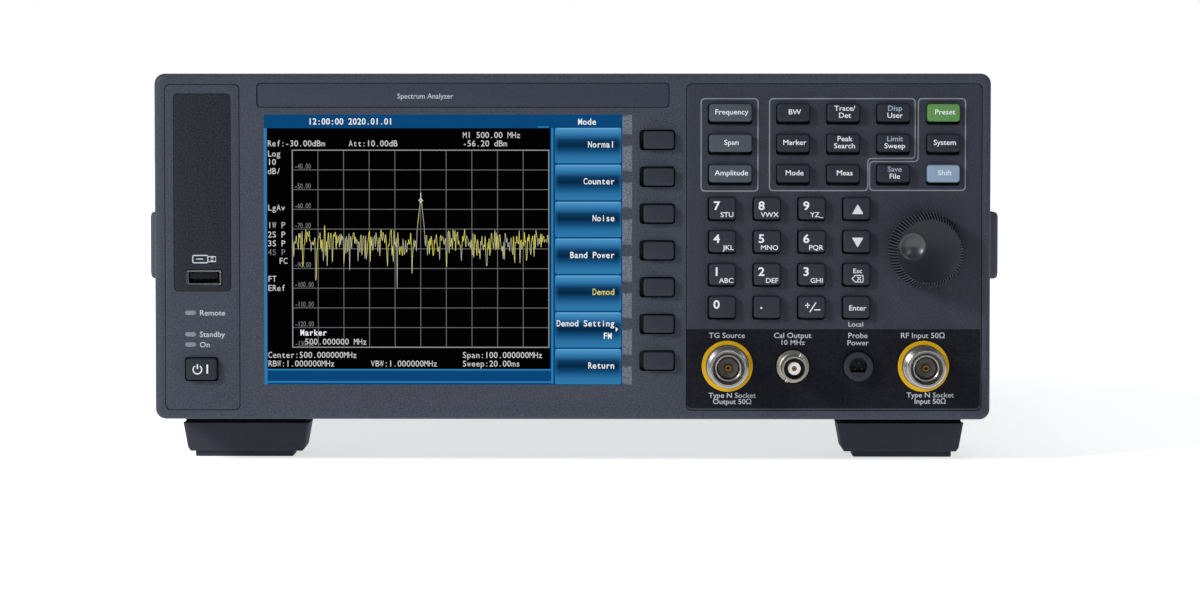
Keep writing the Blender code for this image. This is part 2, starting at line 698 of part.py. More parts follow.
def make_usb_port():
    """The pressed shell of a USB socket with the contact tongue inside it."""
    place = at(USB_X, 0, USB_RISE)
    width, tall = USB_SIZE
    shell = outline(width, tall, USB_WALL, KEY_CORNER_STEPS)
    inner = outline(width - 2 * USB_WALL, tall - 2 * USB_WALL, USB_WALL / 2, KEY_CORNER_STEPS)
    front = FACE_DEPTH - GAP
    floor = front + USB_LENGTH
    rings = [(inner, floor), (inner, front), (shell, front), (shell, floor + USB_BACK)]
    bm = bmesh.new()
    add_stack(bm, rings, place)
    port = finish("usb_port", bm, "port_metal", place)
    tongue = bmesh.new()
    tongue_width, tongue_height = USB_TONGUE
    low = Vector((-tongue_width / 2, floor - USB_TONGUE_LENGTH, USB_TONGUE_RISE - tongue_height / 2))
    high = Vector((tongue_width / 2, floor + USB_BACK / 2, USB_TONGUE_RISE + tongue_height / 2))
    add_block(tongue, place + low, place + high)
    combine(port, "UNION", tongue)


def make_chassis():
    """The folded tray: floor, two sides and a bulkhead behind the front frame."""
    half = CHASSIS_WIDTH / 2
    floor = CHASSIS_FLOOR - FOOT_HEIGHT
    top = floor + CHASSIS_SIDE_HEIGHT
    bm = bmesh.new()
    add_block(bm, at(-half, CHASSIS_SETBACK, floor), at(half, CHASSIS_BACK, top))
    chassis = finish("chassis", bm, "chassis_steel", at(0, CHASSIS_SETBACK, floor))
    inside = bmesh.new()
    low = at(-half + CHASSIS_WALL, CHASSIS_SETBACK + CHASSIS_WALL, floor + CHASSIS_WALL)
    high = at(half - CHASSIS_WALL, CHASSIS_BACK + CHASSIS_WALL, top + CHASSIS_WALL)
    add_block(inside, low, high)
    combine(chassis, "DIFFERENCE", inside)
    holes = bmesh.new()
    levels = (CHASSIS_SETBACK - CHASSIS_WALL, CHASSIS_SETBACK + 2 * CHASSIS_WALL)
    for x in (SOURCE_X, CAL_X, PROBE_X, INPUT_X):
        radius = COAX_RADIUS + CONNECTOR_CLEARANCE
        add_turned(holes, [(radius, level) for level in levels], at(x, 0, CONNECTOR_RISE), steps=16)
    combine(chassis, "DIFFERENCE", holes)


def make_case_sleeve():
    """The painted sleeve that slides over the chassis, with a bank of vents in each side."""
    centre = at(0, 0, FRAME_HEIGHT / 2)
    corner = FRAME_CORNER - CASE_INSET
    outer = outline(CASE_WIDTH, CASE_HEIGHT, corner)
    inner = outline(CASE_WIDTH - 2 * CASE_WALL, CASE_HEIGHT - 2 * CASE_WALL, corner - CASE_WALL)
    bm = bmesh.new()
    add_stack(bm, [(outer, CASE_FRONT), (outer, CASE_BACK)], centre)
    sleeve = finish("case_sleeve", bm, "case_paint", centre)
    bore = bmesh.new()
    add_stack(bore, [(inner, CASE_FRONT - CASE_WALL), (inner, CASE_BACK + CASE_WALL)], centre)
    combine(sleeve, "DIFFERENCE", bore)
    vents = bmesh.new()
    vent_length, vent_height = VENT_SIZE
    for side in (-1, 1):
        for number in range(VENT_COUNT):
            depth = CASE_BACK - VENT_INSET - vent_length - number * VENT_PITCH
            x = side * (CASE_WIDTH - CASE_WALL) / 2
            low = at(x - CASE_WALL, depth, (FRAME_HEIGHT - vent_height) / 2)
            high = at(x + CASE_WALL, depth + vent_length, (FRAME_HEIGHT + vent_height) / 2)
            add_block(vents, low, high)
    combine(sleeve, "DIFFERENCE", vents)


def guard_opening(number):
    """One of the fan guard's openings between two spokes, as an outline about the fan's axis."""
    share = 2 * math.pi / GUARD_OPENINGS
    outer = FAN_BORE_RADIUS - GUARD_SPOKE / 2
    points = []
    for radius, steps in ((FAN_BOSS_RADIUS + GUARD_SPOKE, 2), (outer, 5)):
        margin = math.asin(GUARD_SPOKE / 2 / radius)
        first = number * share + margin
        last = (number + 1) * share - margin
        arc = [first + (last - first) * step / steps for step in range(steps + 1)]
        if points:
            arc.reverse()
        points += [(radius * math.cos(turn), radius * math.sin(turn)) for turn in arc]
    return points


def make_rear_panel():
    """The rear plate with corner posts, the fan's housing and guard, and the inlet's hole."""
    centre = at(0, 0, FRAME_HEIGHT / 2)
    plate = outline(CASE_WIDTH, CASE_HEIGHT, FRAME_CORNER - CASE_INSET)
    bm = bmesh.new()
    add_stack(bm, [(plate, REAR_PLATE_FRONT), (plate, REAR_PLATE_BACK)], centre)
    panel = finish("rear_panel", bm, "rear_metal", centre)

    added = bmesh.new()
    sink = REAR_PLATE / 2
    fan = at(FAN_X, 0, FAN_RISE)
    housing = outline(FAN_FRAME_SIZE, FAN_FRAME_SIZE, GUARD_SPOKE)
    housing_front = REAR_PLATE_FRONT - FAN_FRAME_DEPTH
    add_stack(added, [(housing, housing_front), (housing, REAR_PLATE_FRONT + sink)], fan)
    post_width, post_height = REAR_POST_SIZE
    post = outline(post_width, post_height, REAR_POST_INSET / 2)
    tip = outline(post_width - 2 * FRAME_EDGE, post_height - 2 * FRAME_EDGE, REAR_POST_INSET / 3)
    for side in (-1, 1):
        for up in (-1, 1):
            x = side * (CASE_WIDTH / 2 - REAR_POST_INSET - post_width / 2)
            height = FRAME_HEIGHT / 2 + up * (CASE_HEIGHT / 2 - REAR_POST_INSET - post_height / 2)
            levels = [(post, REAR_PLATE_BACK - sink), (post, BODY_DEPTH - FRAME_EDGE), (tip, BODY_DEPTH)]
            add_stack(added, levels, at(x, 0, height))
    combine(panel, "UNION", added)

    bore = bmesh.new()
    floor = REAR_PLATE_BACK - GUARD_THICKNESS
    boss = floor - FAN_BOSS_LENGTH
    hole = FAN_SHAFT_RADIUS + GAP
    shaft_end = boss + FAN_SHAFT_LENGTH + GAP
    profile = [
        (hole, shaft_end),
        (hole, boss),
        (FAN_BOSS_RADIUS, boss),
        (FAN_BOSS_RADIUS, floor),
        (FAN_BORE_RADIUS, floor),
        (FAN_BORE_RADIUS, housing_front - GUARD_SPOKE),
    ]
    add_turned(bore, profile, fan)
    combine(panel, "DIFFERENCE", bore)

    holes = bmesh.new()
    levels = (floor - GUARD_THICKNESS, REAR_PLATE_BACK + GUARD_THICKNESS)
    for number in range(GUARD_OPENINGS):
        add_stack(holes, [(guard_opening(number), level) for level in levels], fan)
    inlet = outline(*(side + 2 * CONNECTOR_CLEARANCE for side in INLET_SIZE), GAP, KEY_CORNER_STEPS)
    levels = (REAR_PLATE_FRONT - REAR_PLATE, REAR_PLATE_BACK + REAR_PLATE)
    add_stack(holes, [(inlet, level) for level in levels], at(POWER_SUPPLY_X, 0, INLET_RISE))
    combine(panel, "DIFFERENCE", holes)


def add_blade(bm, turn, centre):
    """One pitched fan blade as a flat bar from inside the hub out to the tip."""
    inner = FAN_HUB_RADIUS * math.cos(math.pi / ROUND_STEPS) - FAN_BLADE_THICKNESS
    tip = FAN_BORE_RADIUS - FAN_TIP_GAP
    reach = math.sqrt(tip**2 - (FAN_BLADE_CHORD / 2) ** 2)
    made = bmesh.ops.create_cube(bm, size=1.0)
    shape = Matrix.Diagonal((reach - inner, FAN_BLADE_THICKNESS, FAN_BLADE_CHORD, 1.0))
    pitch = Matrix.Rotation(FAN_BLADE_PITCH, 4, "X")
    out = Matrix.Translation(((reach + inner) / 2, 0, 0))
    spin = Matrix.Rotation(turn, 4, "Y")
    matrix = Matrix.Translation(centre) @ spin @ out @ pitch @ shape
    bmesh.ops.transform(bm, matrix=matrix, verts=made["verts"])


def make_fan_rotor():
    """Hub, blades and the stub shaft that runs in the guard's boss."""
    fan = at(FAN_X, 0, FAN_RISE)
    boss = REAR_PLATE_BACK - GUARD_THICKNESS - FAN_BOSS_LENGTH
    hub_back = boss - GAP
    hub_front = hub_back - FAN_HUB_LENGTH
    profile = [
        (FAN_HUB_RADIUS - FRAME_EDGE, hub_front),
        (FAN_HUB_RADIUS, hub_front + FRAME_EDGE),
        (FAN_HUB_RADIUS, hub_back),
        (FAN_SHAFT_RADIUS, hub_back),
        (FAN_SHAFT_RADIUS, boss + FAN_SHAFT_LENGTH),
    ]
    bm = bmesh.new()
    add_turned(bm, profile, fan)
    rotor = finish("fan_rotor", bm, "fan_plastic", fan)
    blades = bmesh.new()
    middle = fan + Vector((0, (hub_front + hub_back) / 2, 0))
    for number in range(FAN_BLADE_COUNT):
        add_blade(blades, 2 * math.pi * number / FAN_BLADE_COUNT, middle)
    combine(rotor, "UNION", blades)


def make_rf_module():
    """The screened radio module behind the front sockets, with cooling fins on its lid."""
    width, length, tall = RF_MODULE_SIZE
    base = CHASSIS_FLOOR + CHASSIS_WALL + GAP - FOOT_HEIGHT
    right = RIGHT_EDGE - RF_MODULE_MARGIN
    low = at(right - width, MODULE_FRONT, base)
    high = at(right, MODULE_FRONT + length, base + tall)
    bm = bmesh.new()
    add_block(bm, low, high)
    module = finish("rf_module", bm, "module_aluminium", low)
    fins = bmesh.new()
    pitch = (width - RF_FIN_THICKNESS) / (RF_FIN_COUNT + 1)
    for number in range(1, RF_FIN_COUNT + 1):
        start = low + Vector((pitch * number, RF_FIN_HEIGHT, tall - GAP))
        size = Vector((RF_FIN_THICKNESS, length - 2 * RF_FIN_HEIGHT, RF_FIN_HEIGHT))
        add_block(fins, start, start + size)
    combine(module, "UNION", fins)


def make_power_supply():
    """The supply's box, with the mains inlet on its back reaching through the rear panel."""
    width, length, tall = POWER_SUPPLY_SIZE
    back = REAR_PLATE_FRONT - INLET_CAVITY_DEPTH
    base = CHASSIS_FLOOR + CHASSIS_WALL + GAP - FOOT_HEIGHT
    low = at(POWER_SUPPLY_X - width / 2, back - length, base)
    high = at(POWER_SUPPLY_X + width / 2, back, base + tall)
    bm = bmesh.new()
    add_block(bm, low, high)
    supply = finish("power_supply", bm, "supply_case", low)

    place = at(POWER_SUPPLY_X, 0, INLET_RISE)
    inlet_back = REAR_PLATE_BACK + INLET_PROUD
    block = bmesh.new()
    outer = outline(*INLET_SIZE, GAP, KEY_CORNER_STEPS)
    add_stack(block, [(outer, back - INLET_PROUD), (outer, inlet_back)], place)
    combine(supply, "UNION", block)
    hollow = bmesh.new()
    cavity = outline(*INLET_CAVITY, 2 * FRAME_EDGE)
    floor = inlet_back - INLET_CAVITY_DEPTH
    add_stack(hollow, [(cavity, floor), (cavity, inlet_back + INLET_PROUD)], place)
    combine(supply, "DIFFERENCE", hollow)
    pins = bmesh.new()
    pin_width, pin_height = INLET_PIN
    for x, rise in ((-INLET_PIN_SPACING, 0), (0, INLET_PIN_RISE), (INLET_PIN_SPACING, 0)):
        pin = outline(pin_width, pin_height, GAP, KEY_CORNER_STEPS)
        levels = (floor - INLET_PROUD, floor + INLET_PIN_LENGTH)
        add_stack(pins, [(pin, level) for level in levels], place + Vector((x, 0, rise)))
    combine(supply, "UNION", pins)


def make_foot(name, side, setback):
    """A moulded foot: neck under the case, tapered body, and the pad that it stands on."""
    top = FOOT_HEIGHT + CASE_INSET - GAP
    shoulder = top - FOOT_NECK_HEIGHT
    neck = outline(FOOT_NECK_WIDTH, FOOT_LENGTH - FOOT_CORNER, FOOT_CORNER)
    body = outline(FOOT_TOP_WIDTH, FOOT_LENGTH, FOOT_CORNER)
    low = outline(FOOT_LOW_WIDTH, FOOT_LENGTH - FOOT_CORNER, FOOT_CORNER)
    pad = outline(FOOT_PAD_WIDTH, FOOT_LENGTH - 2 * FOOT_CORNER, FOOT_CORNER)
    rings = [
        (pad, 0),
        (pad, FOOT_PAD_HEIGHT),
        (low, FOOT_PAD_HEIGHT),
        (body, shoulder),
        (neck, shoulder),
        (neck, top),
    ]
    place = Vector((side * FOOT_SPREAD, FRONT_Y + setback, 0))
    bm = bmesh.new()
    add_stack(bm, rings, place, upright=True)
    finish(name, bm, "foot_rubber", place)


def make_handle(name, side):
    """A carrying strap along one side, held by a block at each end."""
    wall = CASE_WIDTH / 2 + GAP
    middle = HANDLE_SETBACK + HANDLE_LENGTH / 2
    place = at(side * wall, middle, FRAME_HEIGHT / 2 - HANDLE_DROP)
    inner = wall + HANDLE_PROUD - HANDLE_STRAP
    half = HANDLE_LENGTH / 2
    clear = half - HANDLE_CAP_LENGTH
    side_view = [
        (wall, -half),
        (wall + HANDLE_PROUD - HANDLE_EDGE, -half),
        (wall + HANDLE_PROUD, HANDLE_EDGE - half),
        (wall + HANDLE_PROUD, half - HANDLE_EDGE),
        (wall + HANDLE_PROUD - HANDLE_EDGE, half),
        (wall, half),
        (wall, clear),
        (inner, clear),
        (inner, -clear),
        (wall, -clear),
    ]
    points = [(side * x, y) for x, y in side_view]
    low = FOOT_HEIGHT + (FRAME_HEIGHT - HANDLE_HEIGHT) / 2 - HANDLE_DROP
    centre = Vector((0, FRONT_Y + middle, 0))
    bm = bmesh.new()
    add_stack(bm, [(points, low), (points, low + HANDLE_HEIGHT)], centre, upright=True)
    finish(name, bm, "strap_rubber", place)


def build():
    clear_scene()
    make_materials()
    keys = key_places()
    make_front_frame(keys)
    make_display_module()
    make_keypad_board(keys)
    for name, (size, x, height, slot) in keys.items():
        make_key(name, size, x, height, slot)
    make_tuning_knob()
    make_n_connector("source_output_connector", SOURCE_X)
    make_n_connector("rf_input_connector", INPUT_X)
    make_cal_connector()
    make_probe_socket()
    make_usb_port()
    make_chassis()
    make_case_sleeve()
    make_rear_panel()
    make_fan_rotor()
    make_rf_module()
    make_power_supply()
    front_foot = CASE_FRONT + FOOT_INSET + FOOT_LENGTH / 2
    rear_foot = CASE_BACK - REAR_FOOT_INSET - FOOT_LENGTH / 2
    for end, setback in (("front", front_foot), ("rear", rear_foot)):
        make_foot(f"{end}_foot_left", -1, setback)
        make_foot(f"{end}_foot_right", 1, setback)
    make_handle("handle_left", -1)
    make_handle("handle_right", 1)


build()
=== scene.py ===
# %% [markdown]
# # A benchtop spectrum analyzer
# The instrument is a moulded front frame on a painted metal sleeve. Nearly everything that the eye
# rests on is on the front: a lit display, rows of small keys, a tuning knob and metal sockets. The
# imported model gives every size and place, and this lesson builds the fine surfaces around it.

import json
import math
import random

import bmesh
import bpy
from mathutils import Matrix, Vector


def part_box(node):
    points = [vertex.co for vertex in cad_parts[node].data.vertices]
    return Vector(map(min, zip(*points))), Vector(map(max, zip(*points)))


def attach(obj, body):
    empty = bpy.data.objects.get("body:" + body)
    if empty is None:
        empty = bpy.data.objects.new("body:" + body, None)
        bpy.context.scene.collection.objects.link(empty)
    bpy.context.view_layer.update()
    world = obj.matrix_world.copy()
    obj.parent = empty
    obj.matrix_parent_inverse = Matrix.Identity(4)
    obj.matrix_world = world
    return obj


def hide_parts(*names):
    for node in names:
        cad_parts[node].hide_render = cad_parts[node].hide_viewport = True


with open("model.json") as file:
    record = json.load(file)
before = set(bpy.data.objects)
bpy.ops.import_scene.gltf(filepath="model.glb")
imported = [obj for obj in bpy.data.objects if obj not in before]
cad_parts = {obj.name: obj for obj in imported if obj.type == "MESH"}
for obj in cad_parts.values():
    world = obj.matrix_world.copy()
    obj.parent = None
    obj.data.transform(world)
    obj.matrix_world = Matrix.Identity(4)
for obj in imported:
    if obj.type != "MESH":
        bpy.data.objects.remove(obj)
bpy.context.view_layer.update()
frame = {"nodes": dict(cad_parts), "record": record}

# %% [markdown]
# ## Places on the panel
# A drawing of such a panel is dimensioned in millimetres from one corner, so the lesson does the
# same: across from the middle, up from the frame's foot, and back from its front edge. One function
# turns those three numbers into a place, and the keys' own places are read from the frame.

# %% Places on the panel
MM = 0.001
MAIN = "instrument"
FRAME_LOW, FRAME_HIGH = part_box("front_frame")
FRAME_W = (FRAME_HIGH.x - FRAME_LOW.x) / MM
FRAME_H = (FRAME_HIGH.z - FRAME_LOW.z) / MM
FRAME_D = (FRAME_HIGH.y - FRAME_LOW.y) / MM
FACE = 0.8
FACE_BACK = 3.8
KEY_TOP = -2.0
FLANGE = 1.0


def spot(across, up, back=0.0):
    return Vector((across * MM, FRAME_LOW.y + back * MM, FRAME_LOW.z + up * MM))


def panel_place(node):
    """Middle of a node on the panel, and its size, in millimetres."""
    low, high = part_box(node)
    middle = (low + high) / 2
    size = (high - low) / MM
    return middle.x / MM, (middle.z - FRAME_LOW.z) / MM, size


KEYS = sorted(name for name in frame["nodes"] if name.endswith("_key") or name.startswith("softkey"))
KEYS.append("power_button")
print("keys", len(KEYS), "panel", round(FRAME_W, 1), "x", round(FRAME_H, 1), "mm")

# %% [markdown]
# ## Writing materials as sums
# A finish is a small sum: a colour, a little lighter where a noise is high, a little rougher where
# it is low. Wiring that by hand hides the sum, so one class wraps a socket and lets Python's own
# operators add the Math nodes. Any other node comes from its one `node` method.

# %% A socket that does arithmetic
class Socket:
    """An output of a node. Sums on it add the Math nodes that work them out."""

    def __init__(self, tree, output=None):
        self.tree = tree
        self.output = output

    def node(self, kind, settings=None, inputs=None, out=0):
        made = self.tree.nodes.new(kind)
        for name, value in (settings or {}).items():
            if name == "stops":
                self.set_stops(made.color_ramp, value)
            else:
                setattr(made, name, value)
        for name, value in (inputs or {}).items():
            if isinstance(value, Socket):
                self.tree.links.new(value.output, made.inputs[name])
            else:
                made.inputs[name].default_value = value
        return Socket(self.tree, made.outputs[out])

    def set_stops(self, ramp, stops):
        while len(ramp.elements) < len(stops):
            ramp.elements.new(1.0)
        for element, (place, colour) in zip(ramp.elements, stops):
            element.position = place
            element.color = (*colour, 1.0)

    def maths(self, operation, *values):
        return self.node("ShaderNodeMath", {"operation": operation}, dict(enumerate(values)))

    def __add__(self, other):
        return self.maths("ADD", self, other)

    __radd__ = __add__

    def __sub__(self, other):
        return self.maths("SUBTRACT", self, other)

    def __rsub__(self, other):
        return self.maths("SUBTRACT", other, self)

    def __mul__(self, other):
        return self.maths("MULTIPLY", self, other)

    __rmul__ = __mul__

    def __truediv__(self, other):
        return self.maths("DIVIDE", self, other)

    def fraction(self):
        return self.maths("FRACT", self)

    def above(self, level):
        return self.maths("GREATER_THAN", self, level)

    def clamp(self):
        return self.node("ShaderNodeClamp", {}, {"Value": self})

    def blend(self, low, high):
        """A colour between two others, as this value goes from 0 to 1."""
        inputs = {0: self, 6: low, 7: high}
        return self.node("ShaderNodeMix", {"data_type": "RGBA"}, inputs, out=2)


def colour(red, green, blue):
    """A display colour from 0 to 255 as the linear colour that a shader takes."""
    shares = (level / 255 for level in (red, green, blue))
    light = [s / 12.92 if s <= 0.04045 else ((s + 0.055) / 1.055) ** 2.4 for s in shares]
    return (*light, 1.0)


def tint(base, factor):
    return (*(min(level * factor, 1.0) for level in base[:3]), 1.0)


print("one grey, linear:", [round(v, 3) for v in colour(67, 71, 83)])

# %% [markdown]
# ## A finish to start from
# Every material here begins the same way, with a Principled shader whose fixed numbers are set on
# its own sockets and whose varying ones come from sums on the object's coordinates. Coordinates are
# in metres, so a noise of scale 2000 has grains of half a millimetre.

# %% Start a finish
def start_finish(name, fixed):
    material = bpy.data.materials.new(name)
    material.use_nodes = True
    shader = material.node_tree.nodes["Principled BSDF"]
    for socket, value in fixed.items():
        shader.inputs[socket].default_value = value
    tree = Socket(material.node_tree)
    here = tree.node("ShaderNodeTexCoord", out="Object")
    return material, shader, tree, here


def feed(shader, socket, value):
    value.tree.links.new(value.output, shader.inputs[socket])


def along_axis(here, axis):
    """One part of the coordinates: 0 is across, 1 is back and 2 is up."""
    return here.node("ShaderNodeSeparateXYZ", {}, {"Vector": here}, out=axis)


def noise(here, size, detail=2.0, roughness=0.5):
    """Soft noise from 0 to 1 with grains of the given size in millimetres."""
    inputs = {"Vector": here, "Scale": 1 / (size * MM), "Detail": detail, "Roughness": roughness}
    return here.node("ShaderNodeTexNoise", {}, inputs)


def bump(shader, height, depth):
    """Raises the surface by a height from 0 to 1, of the given depth in millimetres."""
    inputs = {"Height": height, "Distance": depth * MM, "Strength": 1.0}
    feed(shader, "Normal", height.node("ShaderNodeBump", {}, inputs))


# %% [markdown]
# ## Moulded plastic
# The frame and keys are textured mouldings: the steel mould is etched, and its grain breaks the
# reflection into a soft speckle. A fine noise gives the grain, its peaks are a shade lighter, where
# hands and light catch them, and a broad slow noise keeps a large face from looking painted flat. The
# numbers of a finish are its grain and depth in millimetres, and how far its speckle spreads in tone.

# %% Moulded plastic
SPREAD = 0.4


def moulded(name, base, grain=0.5, depth=0.03, contrast=1.2, rough=0.5, specular=0.12):
    material, shader, _, here = start_finish(name, {"Specular IOR Level": specular})
    speckle = noise(here, grain, 3.0, 0.65)
    drift = noise(here, 45.0, 1.0)
    tone = 1 + (speckle - 0.5) * contrast * 2 + (drift - 0.5) * 0.06
    low = tint(base, 1 - SPREAD)
    high = tint(base, 1 + SPREAD)
    feed(shader, "Base Color", ((tone - (1 - SPREAD)) * (0.5 / SPREAD)).clamp().blend(low, high))
    feed(shader, "Roughness", rough + (speckle - 0.5) * 0.2)
    bump(shader, speckle, depth)
    return material


FRAME_PLASTIC = moulded("frame_plastic", colour(62, 66, 77))
# A lighter copy of the frame plastic for the slope beside the window: painted light, as if it caught the
# lamp from the left.
SLOPE_PAINTED_LIGHT = moulded("slope_painted_light", colour(98, 101, 110), grain=0.55, contrast=1.6)
KEYPAD_PLASTIC = moulded("keypad_plastic", colour(54, 57, 67), grain=0.5, contrast=0.9)
TITLE_PLASTIC = moulded("title_plastic", colour(57, 61, 73), grain=0.8, depth=0.01, contrast=0.4)
PORT_PLASTIC = moulded("port_plastic", colour(38, 40, 48), grain=0.6, contrast=2.2)
SOCKET_FILM = moulded("socket_film", colour(22, 24, 31), 0.6, 0.015, 1.4, specular=0.08)


def key_plastic(name, base):
    return moulded(name, base, grain=0.5, depth=0.008, contrast=0.15, rough=0.42)


KEY_FINISH = {
    "key_dark": key_plastic("dark_key", colour(44, 47, 55)),
    "key_light": key_plastic("light_key", colour(74, 78, 88)),
    "key_number": key_plastic("number_key", colour(48, 51, 59)),
    "key_soft": key_plastic("soft_key", colour(49, 52, 60)),
    "key_green": key_plastic("green_key", colour(92, 138, 77)),
    "key_blue": key_plastic("blue_key", colour(133, 154, 177)),
}
KNOB_RUBBER = moulded("knob_soft_touch", colour(25, 27, 34), 0.4, 0.004, 0.15, rough=0.4, specular=0.3)
# Pale crests and dark valleys for the knob's teeth: painted highlight and painted shade on one skin.
KNOB_CREST_HIGHLIGHT = moulded("knob_crest_painted_highlight", colour(84, 87, 97), 0.4, 0.004, 0.3, rough=0.4, specular=0.4)
KNOB_VALLEY_SHADE = moulded("knob_valley_painted_shade", colour(24, 26, 32), 0.4, 0.004, 0.2)
# The finger dimple is glossier than the knob's skin and a shade lighter; the lighter tone is a painted
# highlight.
DIMPLE_GLOSS_AND_HIGHLIGHT = moulded("knob_dimple_gloss_and_highlight", colour(34, 37, 45), 0.5, 0.001, 0.05, rough=0.38, specular=0.9)
FOOT_RUBBER = moulded("foot_rubber", colour(53, 56, 65), contrast=0.4, rough=0.65)
# Near-black rubber for the feet's necks: painted shade where they sit under the frame.
NECK_PAINTED_SHADE = moulded("neck_painted_shade", colour(12, 12, 14), 0.5, 0.02, 0.1, rough=0.7, specular=0.05)
STRAP_RUBBER = moulded("strap_rubber", colour(78, 81, 91), 0.6, contrast=0.2, rough=0.6)
print("materials so far", len(bpy.data.materials))

# %% [markdown]
# ## Print, metal and lamps
# Legends are screen-printed ink a few hundredths of a millimetre thick, so they are real lettering
# that stands just proud. Turned metal carries fine rings about its axis; those come from a noise that
# runs along the radius. Paint on the sleeve is a powder coat with the look of orange peel.

# %% Print, metal and lamps
def printed(name, base):
    material, shader, _, here = start_finish(name, {"Specular IOR Level": 0.2})
    mottle = noise(here, 0.2, 2.0)
    feed(shader, "Base Color", mottle.blend(tint(base, 0.92), base))
    feed(shader, "Roughness", 0.55 + (mottle - 0.5) * 0.1)
    return material


def metal(name, base, rough=0.25, scratch=0.3, stretch=(1.0, 1.0, 1.0)):
    material, shader, tree, here = start_finish(name, {"Metallic": 1.0})
    mapped = tree.node("ShaderNodeMapping", {}, {"Vector": here, "Scale": stretch})
    streak = noise(mapped, scratch, 4.0, 0.7)
    stain = noise(here, 6.0, 2.0)
    feed(shader, "Base Color", (streak * 0.6 + stain * 0.4).blend(tint(base, 0.82), base))
    feed(shader, "Roughness", rough + (streak - 0.5) * 0.16)
    bump(shader, streak, 0.004)
    return material


def turned_metal(name, base, across, up, rough=0.3):
    """Metal with fine rings about an axis that runs back through this place on the panel."""
    material, shader, tree, here = start_finish(name, {"Metallic": 1.0})
    axis = spot(across, up)
    side = along_axis(here, 0) - axis.x
    rise = along_axis(here, 2) - axis.z
    away = tree.maths("SQRT", side * side + rise * rise)
    inputs = {"W": away, "Scale": 1 / (0.45 * MM), "Detail": 2.0}
    rings = tree.node("ShaderNodeTexNoise", {"noise_dimensions": "1D"}, inputs)
    stain = noise(here, 3.0, 3.0)
    shade = ((rings - 0.5) * 2.4 + 0.5).clamp() * 0.75 + stain * 0.25
    feed(shader, "Base Color", shade.blend(tint(base, 0.35), tint(base, 1.1)))
    feed(shader, "Roughness", rough + (stain - 0.5) * 0.2)
    bump(shader, rings, 0.012)
    return material


def powder_coat(name, base):
    material, shader, _, here = start_finish(name, {"Specular IOR Level": 0.4})
    peel = noise(here, 0.9, 2.0, 0.5)
    fleck = noise(here, 0.3, 2.0)
    feed(shader, "Base Color", (peel * 0.5 + fleck * 0.5).blend(tint(base, 0.85), tint(base, 1.15)))
    feed(shader, "Roughness", 0.48 + (fleck - 0.5) * 0.2)
    bump(shader, peel, 0.05)
    return material


LEGEND_WHITE = printed("legend_white", colour(226, 229, 235))
LEGEND_BLUE = printed("legend_blue", colour(158, 172, 188))
ARROW_GREY = printed("arrow_grey", colour(214, 217, 221))
PANEL_WHITE = printed("panel_white", colour(186, 190, 197))
LINE_GREY = printed("line_grey", colour(132, 136, 146))
TITLE_GREY = printed("title_grey", colour(176, 180, 188))
PLATED = metal("plated_brass", colour(196, 192, 182), rough=0.2)
# A darker, browner copy of the plating for the deep bore of the big sockets: painted shade.
BORE_PAINTED_SHADE = metal("plated_bore_painted_shade", colour(116, 110, 98), rough=0.35)
GOLD = metal("gold_contact", colour(168, 128, 62), rough=0.4)
PIN_METAL = metal("dull_pins", colour(96, 84, 66), rough=0.45)
STEEL = metal("bright_steel", colour(190, 192, 196), rough=0.25)
GALVANISED = metal("galvanised_sheet", colour(168, 172, 176), rough=0.4, scratch=3.0)
MILLED = metal("milled_aluminium", colour(196, 198, 202), rough=0.35, stretch=(1.0, 0.06, 1.0))
REAR_SHEET = metal("rear_sheet", colour(158, 161, 166), rough=0.42, scratch=0.6, stretch=(0.1, 1.0, 1.0))
YELLOW_RING = moulded("yellow_ring", colour(214, 168, 22), 0.4, 0.01, 0.1, rough=0.4)
INSULATOR = moulded("white_insulator", colour(224, 226, 230), 0.4, 0.005, 0.04, rough=0.4)
BLACK_PLASTIC = moulded("black_plastic", colour(24, 25, 29), 0.4, 0.01, 0.1, rough=0.4)
PROBE_PLASTIC = moulded("probe_plastic", colour(46, 48, 56), 0.5, 0.01, 0.4, rough=0.4)
CORE_GREY = moulded("core_grey", colour(92, 88, 82), 0.3, 0.01, 0.2, rough=0.45)
GREY_RING = moulded("grey_ring", colour(70, 72, 76), 0.3, 0.01, 0.1, rough=0.35)
LAMP_GREY = moulded("lamp_lens", colour(124, 128, 137), 0.5, 0.005, 0.05, rough=0.3)
CASE_PAINT = powder_coat("case_powder_coat", colour(96, 99, 108))
print("materials by now", len(bpy.data.materials))

# %% [markdown]
# ## Shapes from rings
# Almost every piece of the instrument is a stack of outlines: a key is a rounded rectangle that
# shrinks towards its top, a socket is a circle that changes size. So one helper joins rings of equal
# point counts into a closed skin. It gives clean bevels with no modifier, and exact sizes.

# %% Shapes from rings
def rectangle(width, height, corner, steps=5):
    """A rounded rectangle about the origin, as (u, v) points in millimetres."""
    corner = max(min(corner, width / 2 - 0.001, height / 2 - 0.001), 0.001)
    points = []
    for quarter in range(4):
        middle_u = (width / 2 - corner) * (1 if quarter in (0, 3) else -1)
        middle_v = (height / 2 - corner) * (1 if quarter in (0, 1) else -1)
        for step in range(steps + 1):
            angle = (quarter + step / steps) * math.pi / 2
            points.append((middle_u + corner * math.cos(angle), middle_v + corner * math.sin(angle)))
    return points


def circle(radius, steps=64):
    turns = (2 * math.pi * step / steps for step in range(steps))
    return [(radius * math.cos(turn), radius * math.sin(turn)) for turn in turns]


